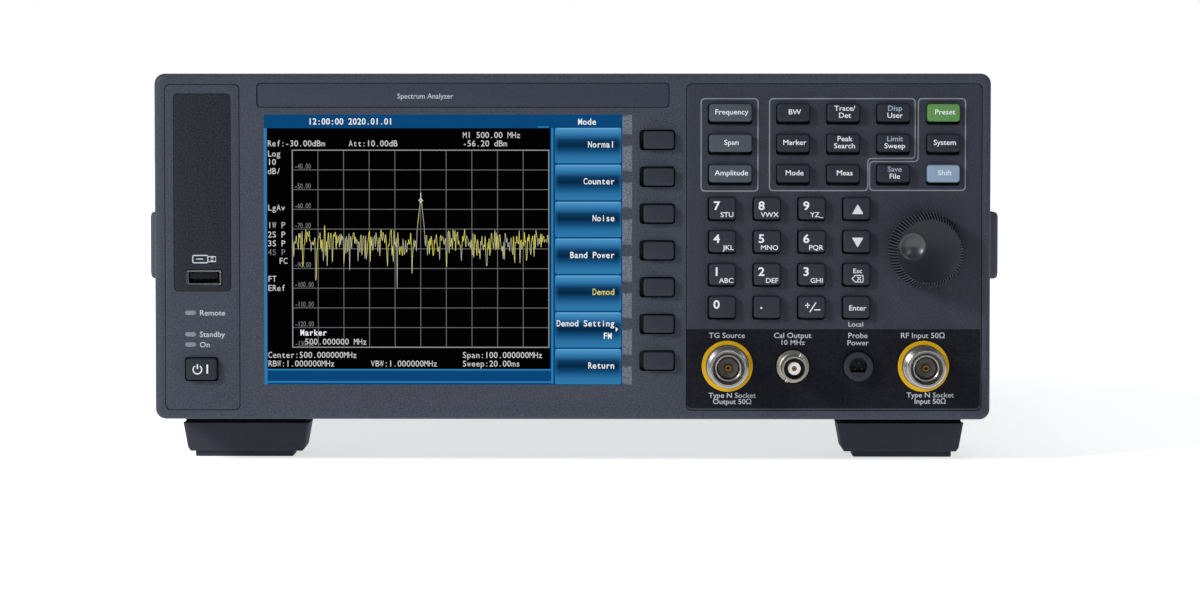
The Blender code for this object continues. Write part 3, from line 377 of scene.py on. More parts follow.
def add_stack(bm, rings, centre, upright=False, slots=None):
    """Closed skin through (points, level) rings. Levels run back along Y, or up Z when upright."""
    rows = []
    for points, level in rings:
        places = [(u, v, level) if upright else (u, level, v) for u, v in points]
        rows.append([bm.verts.new(Vector(place) * MM + centre) for place in places])
    count = len(rows[0])
    faces = [bm.faces.new(rows[0])]
    for number, (low, high) in enumerate(zip(rows, rows[1:])):
        for i in range(count):
            j = (i + 1) % count
            face = bm.faces.new((low[i], low[j], high[j], high[i]))
            face.material_index = slots[number] if slots else 0
            faces.append(face)
    last = bm.faces.new(rows[-1])
    if slots:
        last.material_index = slots[-1]
        faces[0].material_index = slots[0]
    bmesh.ops.recalc_face_normals(bm, faces=faces + [last])


def add_turned(bm, profile, centre, steps=64, slots=None):
    """A turned piece about Y from (radius, level) points."""
    add_stack(bm, [(circle(radius, steps), level) for radius, level in profile], centre, slots=slots)


def add_block(bm, low, high):
    made = bmesh.ops.create_cube(bm, size=1.0)
    size = high - low
    matrix = Matrix.Translation((low + high) / 2) @ Matrix.Diagonal((*size, 1.0))
    bmesh.ops.transform(bm, matrix=matrix, verts=made["verts"])


def piece(name, bm, finishes, body=MAIN, nodes=(), smooth=35):
    """Makes an object from a bmesh, gives it its finishes, and sets it riding on its body."""
    mesh = bpy.data.meshes.new(name)
    bm.to_mesh(mesh)
    bm.free()
    mesh.shade_smooth()
    mesh.set_sharp_from_angle(angle=math.radians(smooth))
    for finish in finishes if isinstance(finishes, (list, tuple)) else [finishes]:
        mesh.materials.append(finish)
    obj = bpy.data.objects.new(name, mesh)
    bpy.context.scene.collection.objects.link(obj)
    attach(obj, body)
    if nodes:
        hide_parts(*nodes)
    return obj


def carve(obj, bm):
    """Cuts a shape out of a piece and keeps only the result."""
    mesh = bpy.data.meshes.new("cutter")
    bm.to_mesh(mesh)
    bm.free()
    cutter = bpy.data.objects.new("cutter", mesh)
    bpy.context.scene.collection.objects.link(cutter)
    modifier = obj.modifiers.new("carve", "BOOLEAN")
    modifier.operation = "DIFFERENCE"
    modifier.solver = "EXACT"
    modifier.object = cutter
    graph = bpy.context.evaluated_depsgraph_get()
    result = bpy.data.meshes.new_from_object(obj.evaluated_get(graph))
    obj.modifiers.clear()
    obj.data = result
    bpy.data.objects.remove(cutter)
    result.shade_smooth()
    result.set_sharp_from_angle(angle=math.radians(30))
    return obj


# %% [markdown]
# ## Rounded plates and their holes
# A plate's rim is rounded by a few tenths, and the rounding is part of the rings, a quarter circle in
# three steps. A hole with straight sides is cut with a plug that has the hole's own size at the face
# and is a little wider just below it. A round hole has an eased lip.

# %% Rounded plates and their holes
EASE_STEPS = 3


def eased(edge):
    """(inset, drop) pairs along a quarter circle, from the face to the side."""
    angles = [math.pi / 2 * step / EASE_STEPS for step in range(EASE_STEPS + 1)]
    return [(edge * (1 - math.sin(a)), edge * (1 - math.cos(a))) for a in angles]


def plate(width, height, corner, front, back, edge, steps=5):
    """Rings of a plate whose front edge is rounded."""
    rings = []
    for inset, drop in eased(edge):
        outline = rectangle(width - 2 * inset, height - 2 * inset, corner - inset, steps)
        rings.append((outline, front + drop))
    rings.append((rectangle(width, height, corner, steps), back))
    return rings


def plug(width, height, corner, front, back, edge, steps=5):
    """Rings of a cutter for a hole that has this size at its face and is wider just below."""
    rings = [(rectangle(width + 2 * edge, height + 2 * edge, corner + edge, steps), front - 2)]
    for inset, drop in reversed(eased(edge)):
        outline = rectangle(width + 2 * inset, height + 2 * inset, corner + inset, steps)
        rings.append((outline, front + edge - drop))
    rings.append((rectangle(width, height, corner, steps), back))
    return rings


def round_plug(radius, front, back, edge):
    """Rings of a cutter for a round hole that flares at its face."""
    steps = [(edge, front - 2), (edge, front), (edge * 0.3, front + edge * 0.3)]
    steps += [(0, front + edge), (0, back)]
    return [(circle(radius + grow), level) for grow, level in steps]


print("quarter circle", [(round(a, 2), round(b, 2)) for a, b in eased(0.3)])

# %% [markdown]
# ## The front frame
# The frame is one large moulding: a skirt that closes over the sleeve, a rounded rim, and a face set
# a little way in. The three inlays lie in pockets with a fine groove round them, so the pockets are
# cut first, a touch larger than the inlays. The display window has straight edges on three sides. Its
# right side is a slope, crossed by seven flat ribs that point from each softkey to its label. The
# slope's faces take a lighter copy of the frame plastic, painted light as if they caught the lamp.

# %% The front frame
CROWN = ((3.4, 0.8), (2.6, 0.83), (1.8, 0.95), (1.1, 1.2), (0.6, 1.6), (0.25, 2.2), (0.0, 3.2))
GROOVE = 0.2
LEDGE = 1.4
INLAY_BACK = 2.6
LEFT_INLAY = (-141.6, 66.0, 28.4, 124.6, 2.0)
KEYPAD_INLAY = (100.1, 66.1, 112.6, 124.8, 2.0)
TITLE_INLAY = (-41.75, 124.2, 157.6, 9.2, 1.6)
TITLE_SINK = 0.35
SCREEN_LEFT = -117.9
SCREEN_RIGHT = 19.0
SCREEN_BOTTOM = 13.4
SCREEN_TOP = 116.8
SCREEN_BACK = 2.14
SLOPE_RIGHT = 22.9
RIB_HEIGHT = 4.1

FRAME_CORNER = 4.0
SKIRT_WALL = 2.6
CORNER_STEPS = 8

bm = bmesh.new()
rings = []
for inset, level in CROWN:
    corner = FRAME_CORNER - inset * 0.8
    rings.append((rectangle(FRAME_W - 2 * inset, FRAME_H - 2 * inset, corner, CORNER_STEPS), level))
rings.append((rectangle(FRAME_W, FRAME_H, FRAME_CORNER, CORNER_STEPS), FRAME_D))
inside = FRAME_W - 2 * SKIRT_WALL, FRAME_H - 2 * SKIRT_WALL, 1.6, CORNER_STEPS
for level in (FRAME_D, FACE_BACK):
    rings.append((rectangle(*inside), level))
add_stack(bm, rings, spot(0, FRAME_H / 2))
front = piece("front_bezel", bm, FRAME_PLASTIC, nodes=["front_frame"])

bm = bmesh.new()
for across, up, width, height, corner in (LEFT_INLAY, KEYPAD_INLAY):
    rings = plug(width + 2 * GROOVE, height + 2 * GROOVE, corner, FACE, INLAY_BACK, 0.25)
    ledge = width - 2 * LEDGE, height - 2 * LEDGE, corner
    rings += [(rectangle(*ledge), level) for level in (INLAY_BACK, FACE_BACK + 2)]
    add_stack(bm, rings, spot(across, up))
across, up, width, height, corner = TITLE_INLAY
add_stack(bm, plug(width + 0.3, height + 0.3, corner, FACE, INLAY_BACK, TITLE_SINK), spot(across, up))
middle = spot((SCREEN_LEFT + SCREEN_RIGHT) / 2, (SCREEN_BOTTOM + SCREEN_TOP) / 2)
window = SCREEN_RIGHT - SCREEN_LEFT, SCREEN_TOP - SCREEN_BOTTOM, 0.4
add_stack(bm, plug(*window, FACE, FACE_BACK + 2, 0.3), middle)
SOFTKEYS = [name for name in KEYS if name.startswith("softkey")]
for name in SOFTKEYS:
    across, up, size = panel_place(name)
    rings = plug(size.x - 2 * FLANGE + 0.8, size.z - 2 * FLANGE + 0.65, 1.4, FACE, FACE_BACK + 2, 0.2)
    add_stack(bm, rings, spot(across, up))
carve(front, bm)

bm = bmesh.new()
rib_heights = sorted(panel_place(name)[1] for name in SOFTKEYS)
edges = [SCREEN_BOTTOM]
for up in rib_heights:
    edges += [up - RIB_HEIGHT / 2, up + RIB_HEIGHT / 2]
edges.append(SCREEN_TOP)
slope = (SCREEN_BACK - FACE) / (SLOPE_RIGHT - SCREEN_RIGHT)
wedge = [(SCREEN_RIGHT - 1, -1.0), (SLOPE_RIGHT + 5.0, -1.0), (SLOPE_RIGHT + 5.0, FACE - 5.0 * slope)]
wedge.append((SCREEN_RIGHT - 1, SCREEN_BACK + slope))
for low, high in zip(edges[::2], edges[1::2]):
    add_stack(bm, [(wedge, low), (wedge, high)], spot(0, 0), upright=True)
carve(front, bm)
# The slope's faces take the lighter plastic, painted light standing in for the lamp from the left.
front.data.materials.append(SLOPE_PAINTED_LIGHT)
for face in front.data.polygons:
    across = face.center.x / MM
    if face.normal.x < -0.1 and face.normal.y < -0.5 and SCREEN_RIGHT - 1 < across < SLOPE_RIGHT + 1:
        face.material_index = 1
print("front frame faces", len(front.data.polygons))

# %% [markdown]
# ## The inlays
# Inlays are separate mouldings that lie in those pockets. The keypad's has a hole for every key, one
# for the knob's shaft and four for the sockets. The left one holds a darker plate with the port,
# three lamp windows and the power button. The title strip lies a third of a millimetre low.

# %% The inlays
KEY_GAP = 0.3
INLAY_EDGE = 0.25


def inlay(name, shape, front_level, finish, edge=INLAY_EDGE):
    across, up, width, height, corner = shape
    bm = bmesh.new()
    add_stack(bm, plate(width, height, corner, front_level, INLAY_BACK - 0.1, edge), spot(across, up))
    return piece(name, bm, finish)


def key_hole(name):
    """Place and size of the hole that a key's cap comes up through, inside the cap's own flange."""
    across, up, size = panel_place(name)
    return across, up, size.x - 2 * FLANGE + 2 * KEY_GAP, size.z - 2 * FLANGE + 2 * KEY_GAP


def key_plug(bm, name):
    across, up, width, height = key_hole(name)
    add_stack(bm, plug(width, height, 1.2, FACE, FACE_BACK, 0.12), spot(across, up))


keypad = inlay("keypad_inlay", KEYPAD_INLAY, FACE, KEYPAD_PLASTIC)
bm = bmesh.new()
for name in KEYS:
    if name.endswith("_key"):
        key_plug(bm, name)
KNOB_X, KNOB_UP, _ = panel_place("tuning_knob")
SOCKETS = {
    "source_output_connector": 8.3,
    "rf_input_connector": 8.3,
    "cal_output_connector": 6.6,
    "probe_power_socket": 6.0,
}
add_stack(bm, round_plug(3.6, FACE, FACE_BACK, 0.2), spot(KNOB_X, KNOB_UP))
for name, radius in SOCKETS.items():
    across, up, _ = panel_place(name)
    add_stack(bm, round_plug(radius, FACE, FACE_BACK, 0.15), spot(across, up))
carve(keypad, bm)

left = inlay("left_inlay", LEFT_INLAY, FACE, FRAME_PLASTIC)
PORT_PLATE = (-141.6, 87.0, 22.0, 75.8, 1.5)
PORT_SINK = 0.15
LAMPS = ((-146.2, 40.9), (-146.2, 32.65), (-146.2, 28.7))
LAMP_SIZE = (4.6, 2.1)
bm = bmesh.new()
across, up, width, height, corner = PORT_PLATE
add_stack(bm, plug(width, height, corner, FACE, 1.6, 0.2), spot(across, up))
key_plug(bm, "power_button")
for across, up in LAMPS:
    add_stack(bm, plug(*LAMP_SIZE, 1.0, FACE, FACE_BACK, 0.1), spot(across, up))
carve(left, bm)
title = inlay("title_inlay", TITLE_INLAY, FACE + TITLE_SINK, TITLE_PLASTIC, 0.2)

port_shape = PORT_PLATE[:2] + (21.8, 75.6, 1.4)
port_plate = inlay("port_plate", port_shape, FACE + PORT_SINK, PORT_PLASTIC, 0.15)
USB_X, USB_UP, usb_size = panel_place("usb_port")
port_hole = usb_size.x + 0.5, usb_size.z + 0.5, 0.6
for inlay_piece, sink, edge in ((port_plate, PORT_SINK, 0.2), (left, 0.0, 0.0)):
    bm = bmesh.new()
    add_stack(bm, plug(*port_hole, FACE + sink, FACE_BACK, edge), spot(USB_X, USB_UP))
    carve(inlay_piece, bm)

FILM = (99.9, 19.6, 112.2, 30.3)
FILM_THICKNESS = 0.12
across, up, width, height = FILM


def film_outline(inset):
    """The film's edge: almost square corners at the top and round ones at the bottom."""
    shape = rectangle(width - inset, height - inset, 1.9)
    square = rectangle(width - inset, height - inset, 0.15)
    return [other if other[1] > 0 else point for point, other in zip(shape, square)]


FILM_FACE = FACE - FILM_THICKNESS
film_rings = [(film_outline(0.1), FILM_FACE)]
film_rings += [(film_outline(0), level) for level in (FILM_FACE + 0.05, FACE + 0.02)]
bm = bmesh.new()
add_stack(bm, film_rings, spot(across, up))
film = piece("socket_panel_film", bm, SOCKET_FILM)
bm = bmesh.new()
for name, radius in SOCKETS.items():
    across, up, _ = panel_place(name)
    add_turned(bm, [(radius, FACE - 1), (radius, FACE + 1)], spot(across, up))
carve(film, bm)
print("inlay faces", [len(o.data.polygons) for o in (keypad, left, title, port_plate, film)])

# %% [markdown]
# ## Keys
# A key cap is moulded with draft, so it narrows towards its top, and its upper edges are rounded by
# half a millimetre. That rounding is what makes a key look soft under a broad light. One function
# makes all of them, from the width and height that each node in the frame already has.

# %% Keys
KEY_SLOTS = {row["node"]: row["material_slot"] for row in frame["record"]["subparts"]}
SIDE_GAPS = {
    "key_light": (0.5, 0.15, 0.12, 1.15), "key_number": (0.6, 0.15, 0.12, 0.7),
    "key_soft": (1.45, 0.35, 0.5, 0.55), "power": (0.6, 0.45, 0.45, 0.55),
}
OTHER_GAPS = (0.35, 0.15, 0.12, 1.15)


def key_face(name):
    """Middle and size of a cap's face: its hole less the gaps left, right, above and below it."""
    across, up, width, height = key_hole(name)
    key = "power" if name == "power_button" else KEY_SLOTS[name]
    left, right, above, below = SIDE_GAPS.get(key, OTHER_GAPS)
    middle = across + (left - right) / 2, up + (below - above) / 2
    return middle, (width - left - right, height - above - below)


def key_cap(name):
    (across, up), (width, height) = key_face(name)
    rings = []
    for inset, drop in eased(0.45):
        inset += 0.15
        outline = rectangle(width - 2 * inset, height - 2 * inset, 1.2 - inset * 0.5)
        rings.append((outline, KEY_TOP + drop))
    rings.append((rectangle(width, height, 1.1), KEY_TOP + 2.4))
    rings.append((rectangle(width, height, 1.1), FACE_BACK + 0.3))
    bm = bmesh.new()
    add_stack(bm, rings, spot(across, up))
    slot = KEY_SLOTS[name]
    return piece(name + "_cap", bm, KEY_FINISH[slot], body=name + "_body", nodes=[name])


caps = [key_cap(name) for name in KEYS]
print("key caps", len(caps))

# %% [markdown]
# ## Lettering
# Blender's own font is a plain sans, close to what instrument makers print. Letters become thin
# solids of ink: the text is set, thickened a little, measured by its capital height, and turned to
# face the operator. Every legend rides on its own key.

# %% Lettering
INK = 0.04


def flat_words(text, cap, bold=0.0, narrow=1.0, align="CENTER"):
    """A mesh of the words in millimetres, facing +Z, with capitals of the given height."""
    font = bpy.data.curves.new("words", "FONT")
    font.body = text
    font.align_x = align
    font.size = cap / CAP_OF_UNIT
    font.offset = bold * cap
    font.extrude = INK / 2
    font.resolution_u = 3
    obj = bpy.data.objects.new("words", font)
    bpy.context.scene.collection.objects.link(obj)
    graph = bpy.context.evaluated_depsgraph_get()
    mesh = bpy.data.meshes.new_from_object(obj.evaluated_get(graph))
    mesh.transform(Matrix.Diagonal((narrow, 1.0, 1.0, 1.0)))
    bpy.data.objects.remove(obj)
    return mesh


CAP_OF_UNIT = 1.0
CAP_OF_UNIT = max(v.co.y for v in flat_words("H", 1.0).vertices)


def add_words(bm, text, place, cap, **how):
    """Adds words to a bmesh, their capitals' middle at the place, facing the operator."""
    mesh = flat_words(text, cap, **how)
    lower = Matrix.Translation((0, -cap / 2, 0))
    turn = Matrix.Rotation(math.pi / 2, 4, "X")
    mesh.transform(Matrix.Translation(place) @ Matrix.Scale(MM, 4) @ turn @ lower)
    bm.from_mesh(mesh)
    bpy.data.meshes.remove(mesh)


def add_strip(bm, points, width, level, closed=False, ink=INK):
    """A flat printed line of even width through (across, up) points."""
    count = len(points)
    sides = []
    for i, point in enumerate(points):
        before = points[i - 1] if i or closed else point
        after = points[(i + 1) % count] if i < count - 1 or closed else point
        along = Vector((after[0] - before[0], after[1] - before[1])).normalized()
        normal = Vector((-along.y, along.x)) * width / 2
        sides.append((Vector(point) + normal, Vector(point) - normal))
    rows = []
    for depth in (level - ink, level):
        rows.append([[bm.verts.new(spot(p.x, p.y, depth)) for p in pair] for pair in sides])
    faces = []
    for i in range(count if closed else count - 1):
        j = (i + 1) % count
        (a, b), (c, d) = rows[0][i], rows[0][j]
        (e, f), (g, h) = rows[1][i], rows[1][j]
        for corners in ((a, b, d, c), (e, g, h, f), (a, c, g, e), (b, f, h, d)):
            faces.append(bm.faces.new(corners))
    if not closed:
        for i in (0, -1):
            (a, b), (e, f) = rows[0][i], rows[1][i]
            faces.append(bm.faces.new((a, b, f, e)))
    bmesh.ops.recalc_face_normals(bm, faces=faces)


def rounded(points, corner, steps=5):
    """A closed path whose square corners have become arcs."""
    path = []
    count = len(points)
    for i, point in enumerate(points):
        here = Vector(point)
        before = (Vector(points[i - 1]) - here).normalized() * corner
        after = (Vector(points[(i + 1) % count]) - here).normalized() * corner
        for step in range(steps + 1):
            t = step / steps
            path.append(here + before * (1 - t) ** 2 + after * t ** 2)
    return path


print("capital height of the font", round(CAP_OF_UNIT, 3))

# %% [markdown]
# ## Key legends
# Function keys carry one or two centred words. On some of the two-line keys the upper word is the
# shifted function, in light blue. Number keys have a large digit in the upper left corner and
# three letters in the lower right one, for typing names.

# %% Key legends
ONE_LINE = {
    "frequency": "Frequency", "span": "Span", "amplitude": "Amplitude", "bandwidth": "BW",
    "marker": "Marker", "mode": "Mode", "measure": "Meas", "preset": "Preset",
    "system": "System", "shift": "Shift",
}
TWO_LINES = {
    "trace": ("Trace/", "Det", False), "peak": ("Peak", "Search", False),
    "display": ("Disp", "User", True), "sweep": ("Limit", "Sweep", True), "file": ("Save", "File", True),
}
DIGITS = {
    "seven": ("7", "STU"), "eight": ("8", "VWX"), "nine": ("9", "YZ_"),
    "four": ("4", "JKL"), "five": ("5", "MNO"), "six": ("6", "PQR"),
    "one": ("1", "ABC"), "two": ("2", "DEF"), "three": ("3", "GHI"), "zero": ("0", ""), "point": (".", ""),
}
SIGN_STROKES = (
    ((-2.4, 1.08), (-0.5, 1.08)), ((-1.45, 0.1), (-1.45, 2.05)),
    ((-0.6, -1.45), (1.8, 2.2)), ((1.1, -0.65), (3.4, -0.65)),
)
WORD_CAP = 1.9
WORD_RIGHT = 0.5
WORD_UP = 0.85
BOLD = 0.012
WIDE = 1.09


def legend(name, bm, slot_finishes=(LEGEND_WHITE,)):
    return piece(f"{name}_legend", bm, list(slot_finishes), body=f"{name}_key_body")


def on_key(name, across=0.0, up=0.0):
    middle_x, middle_up, _ = panel_place(name + "_key")
    return spot(middle_x + across, middle_up + up, KEY_TOP - INK / 2)


def key_word(bm, name, word, up, cap=WORD_CAP):
    add_words(bm, word, on_key(name, WORD_RIGHT, up), cap, bold=BOLD, narrow=WIDE)


for name, word in ONE_LINE.items():
    bm = bmesh.new()
    key_word(bm, name, word, WORD_UP)
    legend(name, bm)
for name, (upper, lower, shifted) in TWO_LINES.items():
    bm = bmesh.new()
    key_word(bm, name, upper, 2.25)
    for face in bm.faces:
        face.material_index = 1 if shifted else 0
    key_word(bm, name, lower, -0.45)
    legend(name, bm, (LEGEND_WHITE, LEGEND_BLUE))
for name, (digit, letters) in DIGITS.items():
    bm = bmesh.new()
    add_words(bm, digit, on_key(name, -2.0, 1.4), 3.1, bold=0.03, narrow=1.1)
    if letters:
        add_words(bm, letters, on_key(name, 4.5, -2.0), 1.8, bold=BOLD, narrow=WIDE, align="RIGHT")
    legend(name, bm)
for name, turn in (("up", 1), ("down", -1)):
    bm = bmesh.new()
    arrow = rounded([(-2.2, -1.8 * turn), (2.2, -1.8 * turn), (0.0, 2.0 * turn)], 0.5)
    across, up, _ = panel_place(name + "_key")
    add_stack(bm, [(arrow, KEY_TOP - INK), (arrow, KEY_TOP)], spot(across + WORD_RIGHT, up))
    legend(name, bm, (ARROW_GREY,))
bm = bmesh.new()
key_word(bm, "enter", "Enter", 0.1)
legend("enter", bm)
bm = bmesh.new()
across, up, _ = panel_place("sign_key")
for start, end in SIGN_STROKES:
    stroke = [(across + start[0], up + start[1]), (across + end[0], up + end[1])]
    add_strip(bm, stroke, 0.42, KEY_TOP)
legend("sign", bm)
bm = bmesh.new()
across, up, _ = panel_place("escape_key")
across += WORD_RIGHT
key_word(bm, "escape", "Esc", 1.7, cap=1.7)
tag = [(-2.1, 0.0), (-0.9, 1.25), (2.1, 1.25), (2.1, -1.25), (-0.9, -1.25)]
add_strip(bm, [(across + x, up - 1.3 + z) for x, z in tag], 0.4, KEY_TOP, closed=True)
for slant in (-1, 1):
    cross = [(across - 0.1, up - 1.3 - 0.7 * slant), (across + 1.3, up - 1.3 + 0.7 * slant)]
    add_strip(bm, cross, 0.4, KEY_TOP)
legend("escape", bm)

bm = bmesh.new()
across, up, _ = panel_place("power_button")
across += 0.55
arc = [math.radians(90 + 35 + 290 * step / 20) for step in range(21)]
add_strip(bm, [(across - 1.9 + 1.65 * math.cos(a), up + 1.65 * math.sin(a)) for a in arc], 0.42, KEY_TOP)
add_strip(bm, [(across - 1.9, up + 0.2), (across - 1.9, up + 2.1)], 0.5, KEY_TOP)
add_strip(bm, [(across + 1.9, up - 1.5), (across + 1.9, up + 1.9)], 0.6, KEY_TOP)
piece("power_button_legend", bm, LEGEND_WHITE, body="power_button_body")
print("legends made")

# %% [markdown]
# ## Words and lines on the panel
# The keypad's function keys are gathered by printed outlines, and the sockets, lamps and title strip
# carry plain labels. A printed outline is an even line round a path, and its corners are rounded by
# arcs, so one function turns a path with square corners into a rounded one.

# %% Words and lines on the panel
def panel_piece(name, bm, finish):
    return piece(name, bm, finish)


GROUPS = [
    [(49.3, 122.9), (71.0, 122.9), (71.0, 87.6), (49.3, 87.6)],
    [(75.4, 122.9), (130.9, 122.9), (130.9, 100.1), (112.9, 100.1), (112.9, 87.8), (75.4, 87.8)],
    [(132.1, 122.9), (150.1, 122.9), (150.1, 87.9), (113.6, 87.9), (113.6, 98.9), (132.1, 98.9)],
]
bm = bmesh.new()
for corners in GROUPS:
    add_strip(bm, rounded(corners, 1.6), 0.45, FACE, closed=True)
panel_piece("key_group_outlines", bm, LINE_GREY)

PANEL_WORDS = [
    ("Local", 108.5, 36.7, 1.75), ("TG Source", 59.3, 32.4, 1.95), ("Cal Output", 84.3, 32.4, 1.95),
    ("10 MHz", 84.3, 29.7, 1.85), ("Probe", 109.3, 32.4, 1.95), ("Power", 109.3, 29.6, 1.95),
    ("RF Input 50Ω", 134.1, 32.4, 1.95),
    ("Type N Socket", 61.3, 9.4, 1.85), ("Output 50Ω", 61.3, 7.0, 1.85),
    ("Type N Socket", 137.0, 9.6, 1.85), ("Input 50Ω", 137.0, 7.2, 1.85),
]
bm = bmesh.new()
for text, across, up, cap in PANEL_WORDS:
    level = (FACE if text == "Local" else FILM_FACE) - INK / 2
    add_words(bm, text, spot(across, up, level), cap, bold=BOLD, narrow=WIDE)
panel_piece("panel_labels", bm, PANEL_WHITE)

bm = bmesh.new()
for text, (across, up) in zip(("Remote", "Standby", "On"), LAMPS):
    add_words(bm, text, spot(across + 3.4, up, FACE - INK / 2), 2.0, bold=BOLD, narrow=1.05, align="LEFT")
panel_piece("lamp_labels", bm, PANEL_WHITE)
bm = bmesh.new()
title_spot = spot(-66.9, 123.9, FACE + TITLE_SINK - INK / 2)
add_words(bm, "Spectrum Analyzer", title_spot, 1.9, bold=BOLD, align="LEFT")
panel_piece("title_words", bm, TITLE_GREY)

bm = bmesh.new()
for across, up in LAMPS:
    width, height = LAMP_SIZE
    add_stack(bm, plate(width - 0.15, height - 0.15, 1.0, FACE - 0.05, FACE_BACK, 0.3), spot(across, up))
panel_piece("lamp_lenses", bm, LAMP_GREY)
print("outlines", len(GROUPS), "labels", len(PANEL_WORDS) + 4)

# %% [markdown]
# ## The port and its sign
# The port for a memory stick is a folded steel shell round a black tongue with four thin contacts.
# Its lips flare a little, to guide the plug in. Over it stands a plain pictogram: a small stick
# with a body, a plug and two marks on the plug.

# %% The port and its sign
shell = usb_size.x - 0.1, usb_size.z - 0.1
PORT_LIP = 0.45
bm = bmesh.new()
rings = [
    (rectangle(shell[0] - 1.0, shell[1] - 1.0, 0.3, 3), PORT_LIP + 0.9),
    (rectangle(shell[0] - 0.35, shell[1] - 0.35, 0.5, 3), PORT_LIP),
    (rectangle(shell[0], shell[1], 0.6, 3), PORT_LIP),
    (rectangle(shell[0] - 0.1, shell[1] - 0.1, 0.6, 3), 8.0),
    (rectangle(shell[0] - 1.0, shell[1] - 1.0, 0.3, 3), 8.0),
]
add_stack(bm, rings, spot(USB_X, USB_UP))
shell_piece = piece("port_shell", bm, STEEL, nodes=["usb_port"])
bm = bmesh.new()
add_stack(bm, plate(shell[0] - 1.2, shell[1] - 1.2, 0.3, -2.0, 7.2, 0.05, 3), spot(USB_X, USB_UP))
carve(shell_piece, bm)
bm = bmesh.new()
add_stack(bm, plate(10.6, 2.0, 0.2, 1.2, 7.9, 0.15, 2), spot(USB_X, USB_UP + 0.75))
add_stack(bm, plate(shell[0] - 1.0, shell[1] - 1.0, 0.2, 7.1, 7.9, 0.02, 2), spot(USB_X, USB_UP))
piece("port_tongue", bm, BLACK_PLASTIC)
bm = bmesh.new()
for number in range(4):
    add_stack(bm, plate(1.1, 0.12, 0.02, 1.5, 7.0, 0.02, 1), spot(USB_X - 3.6 + 2.4 * number, USB_UP - 0.3))
piece("port_contacts", bm, PIN_METAL)

bm = bmesh.new()
SIGN_X, SIGN_UP = USB_X + 0.1, USB_UP + 7.1
sign_level = FACE + PORT_SINK
stick = rounded([(-4.4, 1.4), (1.4, 1.4), (1.4, -1.4), (-4.4, -1.4)], 0.6)
add_strip(bm, [(SIGN_X + p[0], SIGN_UP + p[1]) for p in stick], 0.45, sign_level, closed=True)
plug_end = [(1.4, 0.95), (4.4, 0.95), (4.4, -0.95), (1.4, -0.95)]
add_strip(bm, [(SIGN_X + x, SIGN_UP + z) for x, z in plug_end], 0.45, sign_level)
for rise in (0.45, -0.45):
    add_strip(bm, [(SIGN_X + 2.5, SIGN_UP + rise), (SIGN_X + 3.5, SIGN_UP + rise)], 0.4, sign_level)
add_strip(bm, [(SIGN_X - 3.0, SIGN_UP), (SIGN_X - 0.4, SIGN_UP)], 0.4, sign_level)
panel_piece("port_sign", bm, PANEL_WHITE)
print("port", round(shell[0], 1), "x", round(shell[1], 1), "mm")

# %% [markdown]
# ## The tuning knob
# The knob is a turned shape with a soft-touch skin: a wide skirt cut with fine teeth, a rounded
# shoulder, and a dished face with one finger dimple near its rim. The teeth are a wave in the rings
# themselves, six points to a tooth; their crests are painted pale, a painted highlight, and their
# valleys painted dark, a painted shade. The face is a set of fine rings too, and the dimple is pressed
# into them; it is glossier than the skin and a shade lighter, the lighter tone a painted highlight.

# %% The tuning knob
TEETH = 72
knob_low, knob_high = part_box("tuning_knob")
KNOB_R = (knob_high.x - knob_low.x) / 2 / MM
KNOB_FRONT = (knob_low.y - FRAME_LOW.y) / MM
KNOB_BACK = FACE - 0.5
DIMPLE = (6.6, math.radians(164), 4.5, 1.7)
BROW, BROW_WIDTH = 0.1, 0.25
DISH = 2.3
FACE_R = 12.0
KNOB_BODY = "tuning_knob_body"


def toothed(radius, depth, steps):
    points = []
    for step in range(steps):
        turn = 2 * math.pi * step / steps
        wave = 0.5 + 0.5 * math.cos(TEETH * turn)
        reach = radius - depth * (1 - wave)
        points.append((reach * math.cos(turn), reach * math.sin(turn)))
    return points


def face_level(across, up):
    """How far back the knob's face lies at a place on it."""
    away = math.hypot(across, up)
    level = KNOB_FRONT + DISH * max(0.0, 1 - (away / FACE_R) ** 2)
    reach, turn, radius, depth = DIMPLE
    near = math.hypot(across - reach * math.cos(turn), up - reach * math.sin(turn)) / radius
    if near < 1:
        level += depth * (1 - near ** 2)
    elif near < 1 + BROW_WIDTH:
        level -= BROW * math.sin((near - 1) / BROW_WIDTH * math.pi)
    return level


STEPS = TEETH * 6
bm = bmesh.new()
profile = [
    (KNOB_R, 0.8, KNOB_BACK), (KNOB_R, 0.8, KNOB_BACK - 1.6), (KNOB_R - 0.3, 0.8, KNOB_BACK - 3.0),
    (KNOB_R - 1.1, 0.8, KNOB_FRONT + 5.5), (KNOB_R - 1.8, 0.75, KNOB_FRONT + 2.0),
    (KNOB_R - 2.1, 0.65, KNOB_FRONT + 0.9), (KNOB_R - 2.3, 0.5, KNOB_FRONT + 0.3),
    (KNOB_R - 2.45, 0.25, KNOB_FRONT + 0.03), (FACE_R, 0.0, KNOB_FRONT),
]
add_stack(bm, [(toothed(r, d, STEPS), level) for r, d, level in profile], spot(KNOB_X, KNOB_UP))
bm.faces.ensure_lookup_table()
top = max((f for f in bm.faces if len(f.verts) == STEPS), key=lambda f: -f.calc_center_median().y)
edge_ring = list(top.verts)
bmesh.ops.delete(bm, geom=[top], context="FACES_ONLY")
centre = spot(KNOB_X, KNOB_UP)
RINGS = 34
hollow = spot(KNOB_X + DIMPLE[0] * math.cos(DIMPLE[1]), KNOB_UP + DIMPLE[0] * math.sin(DIMPLE[1]))
previous = edge_ring
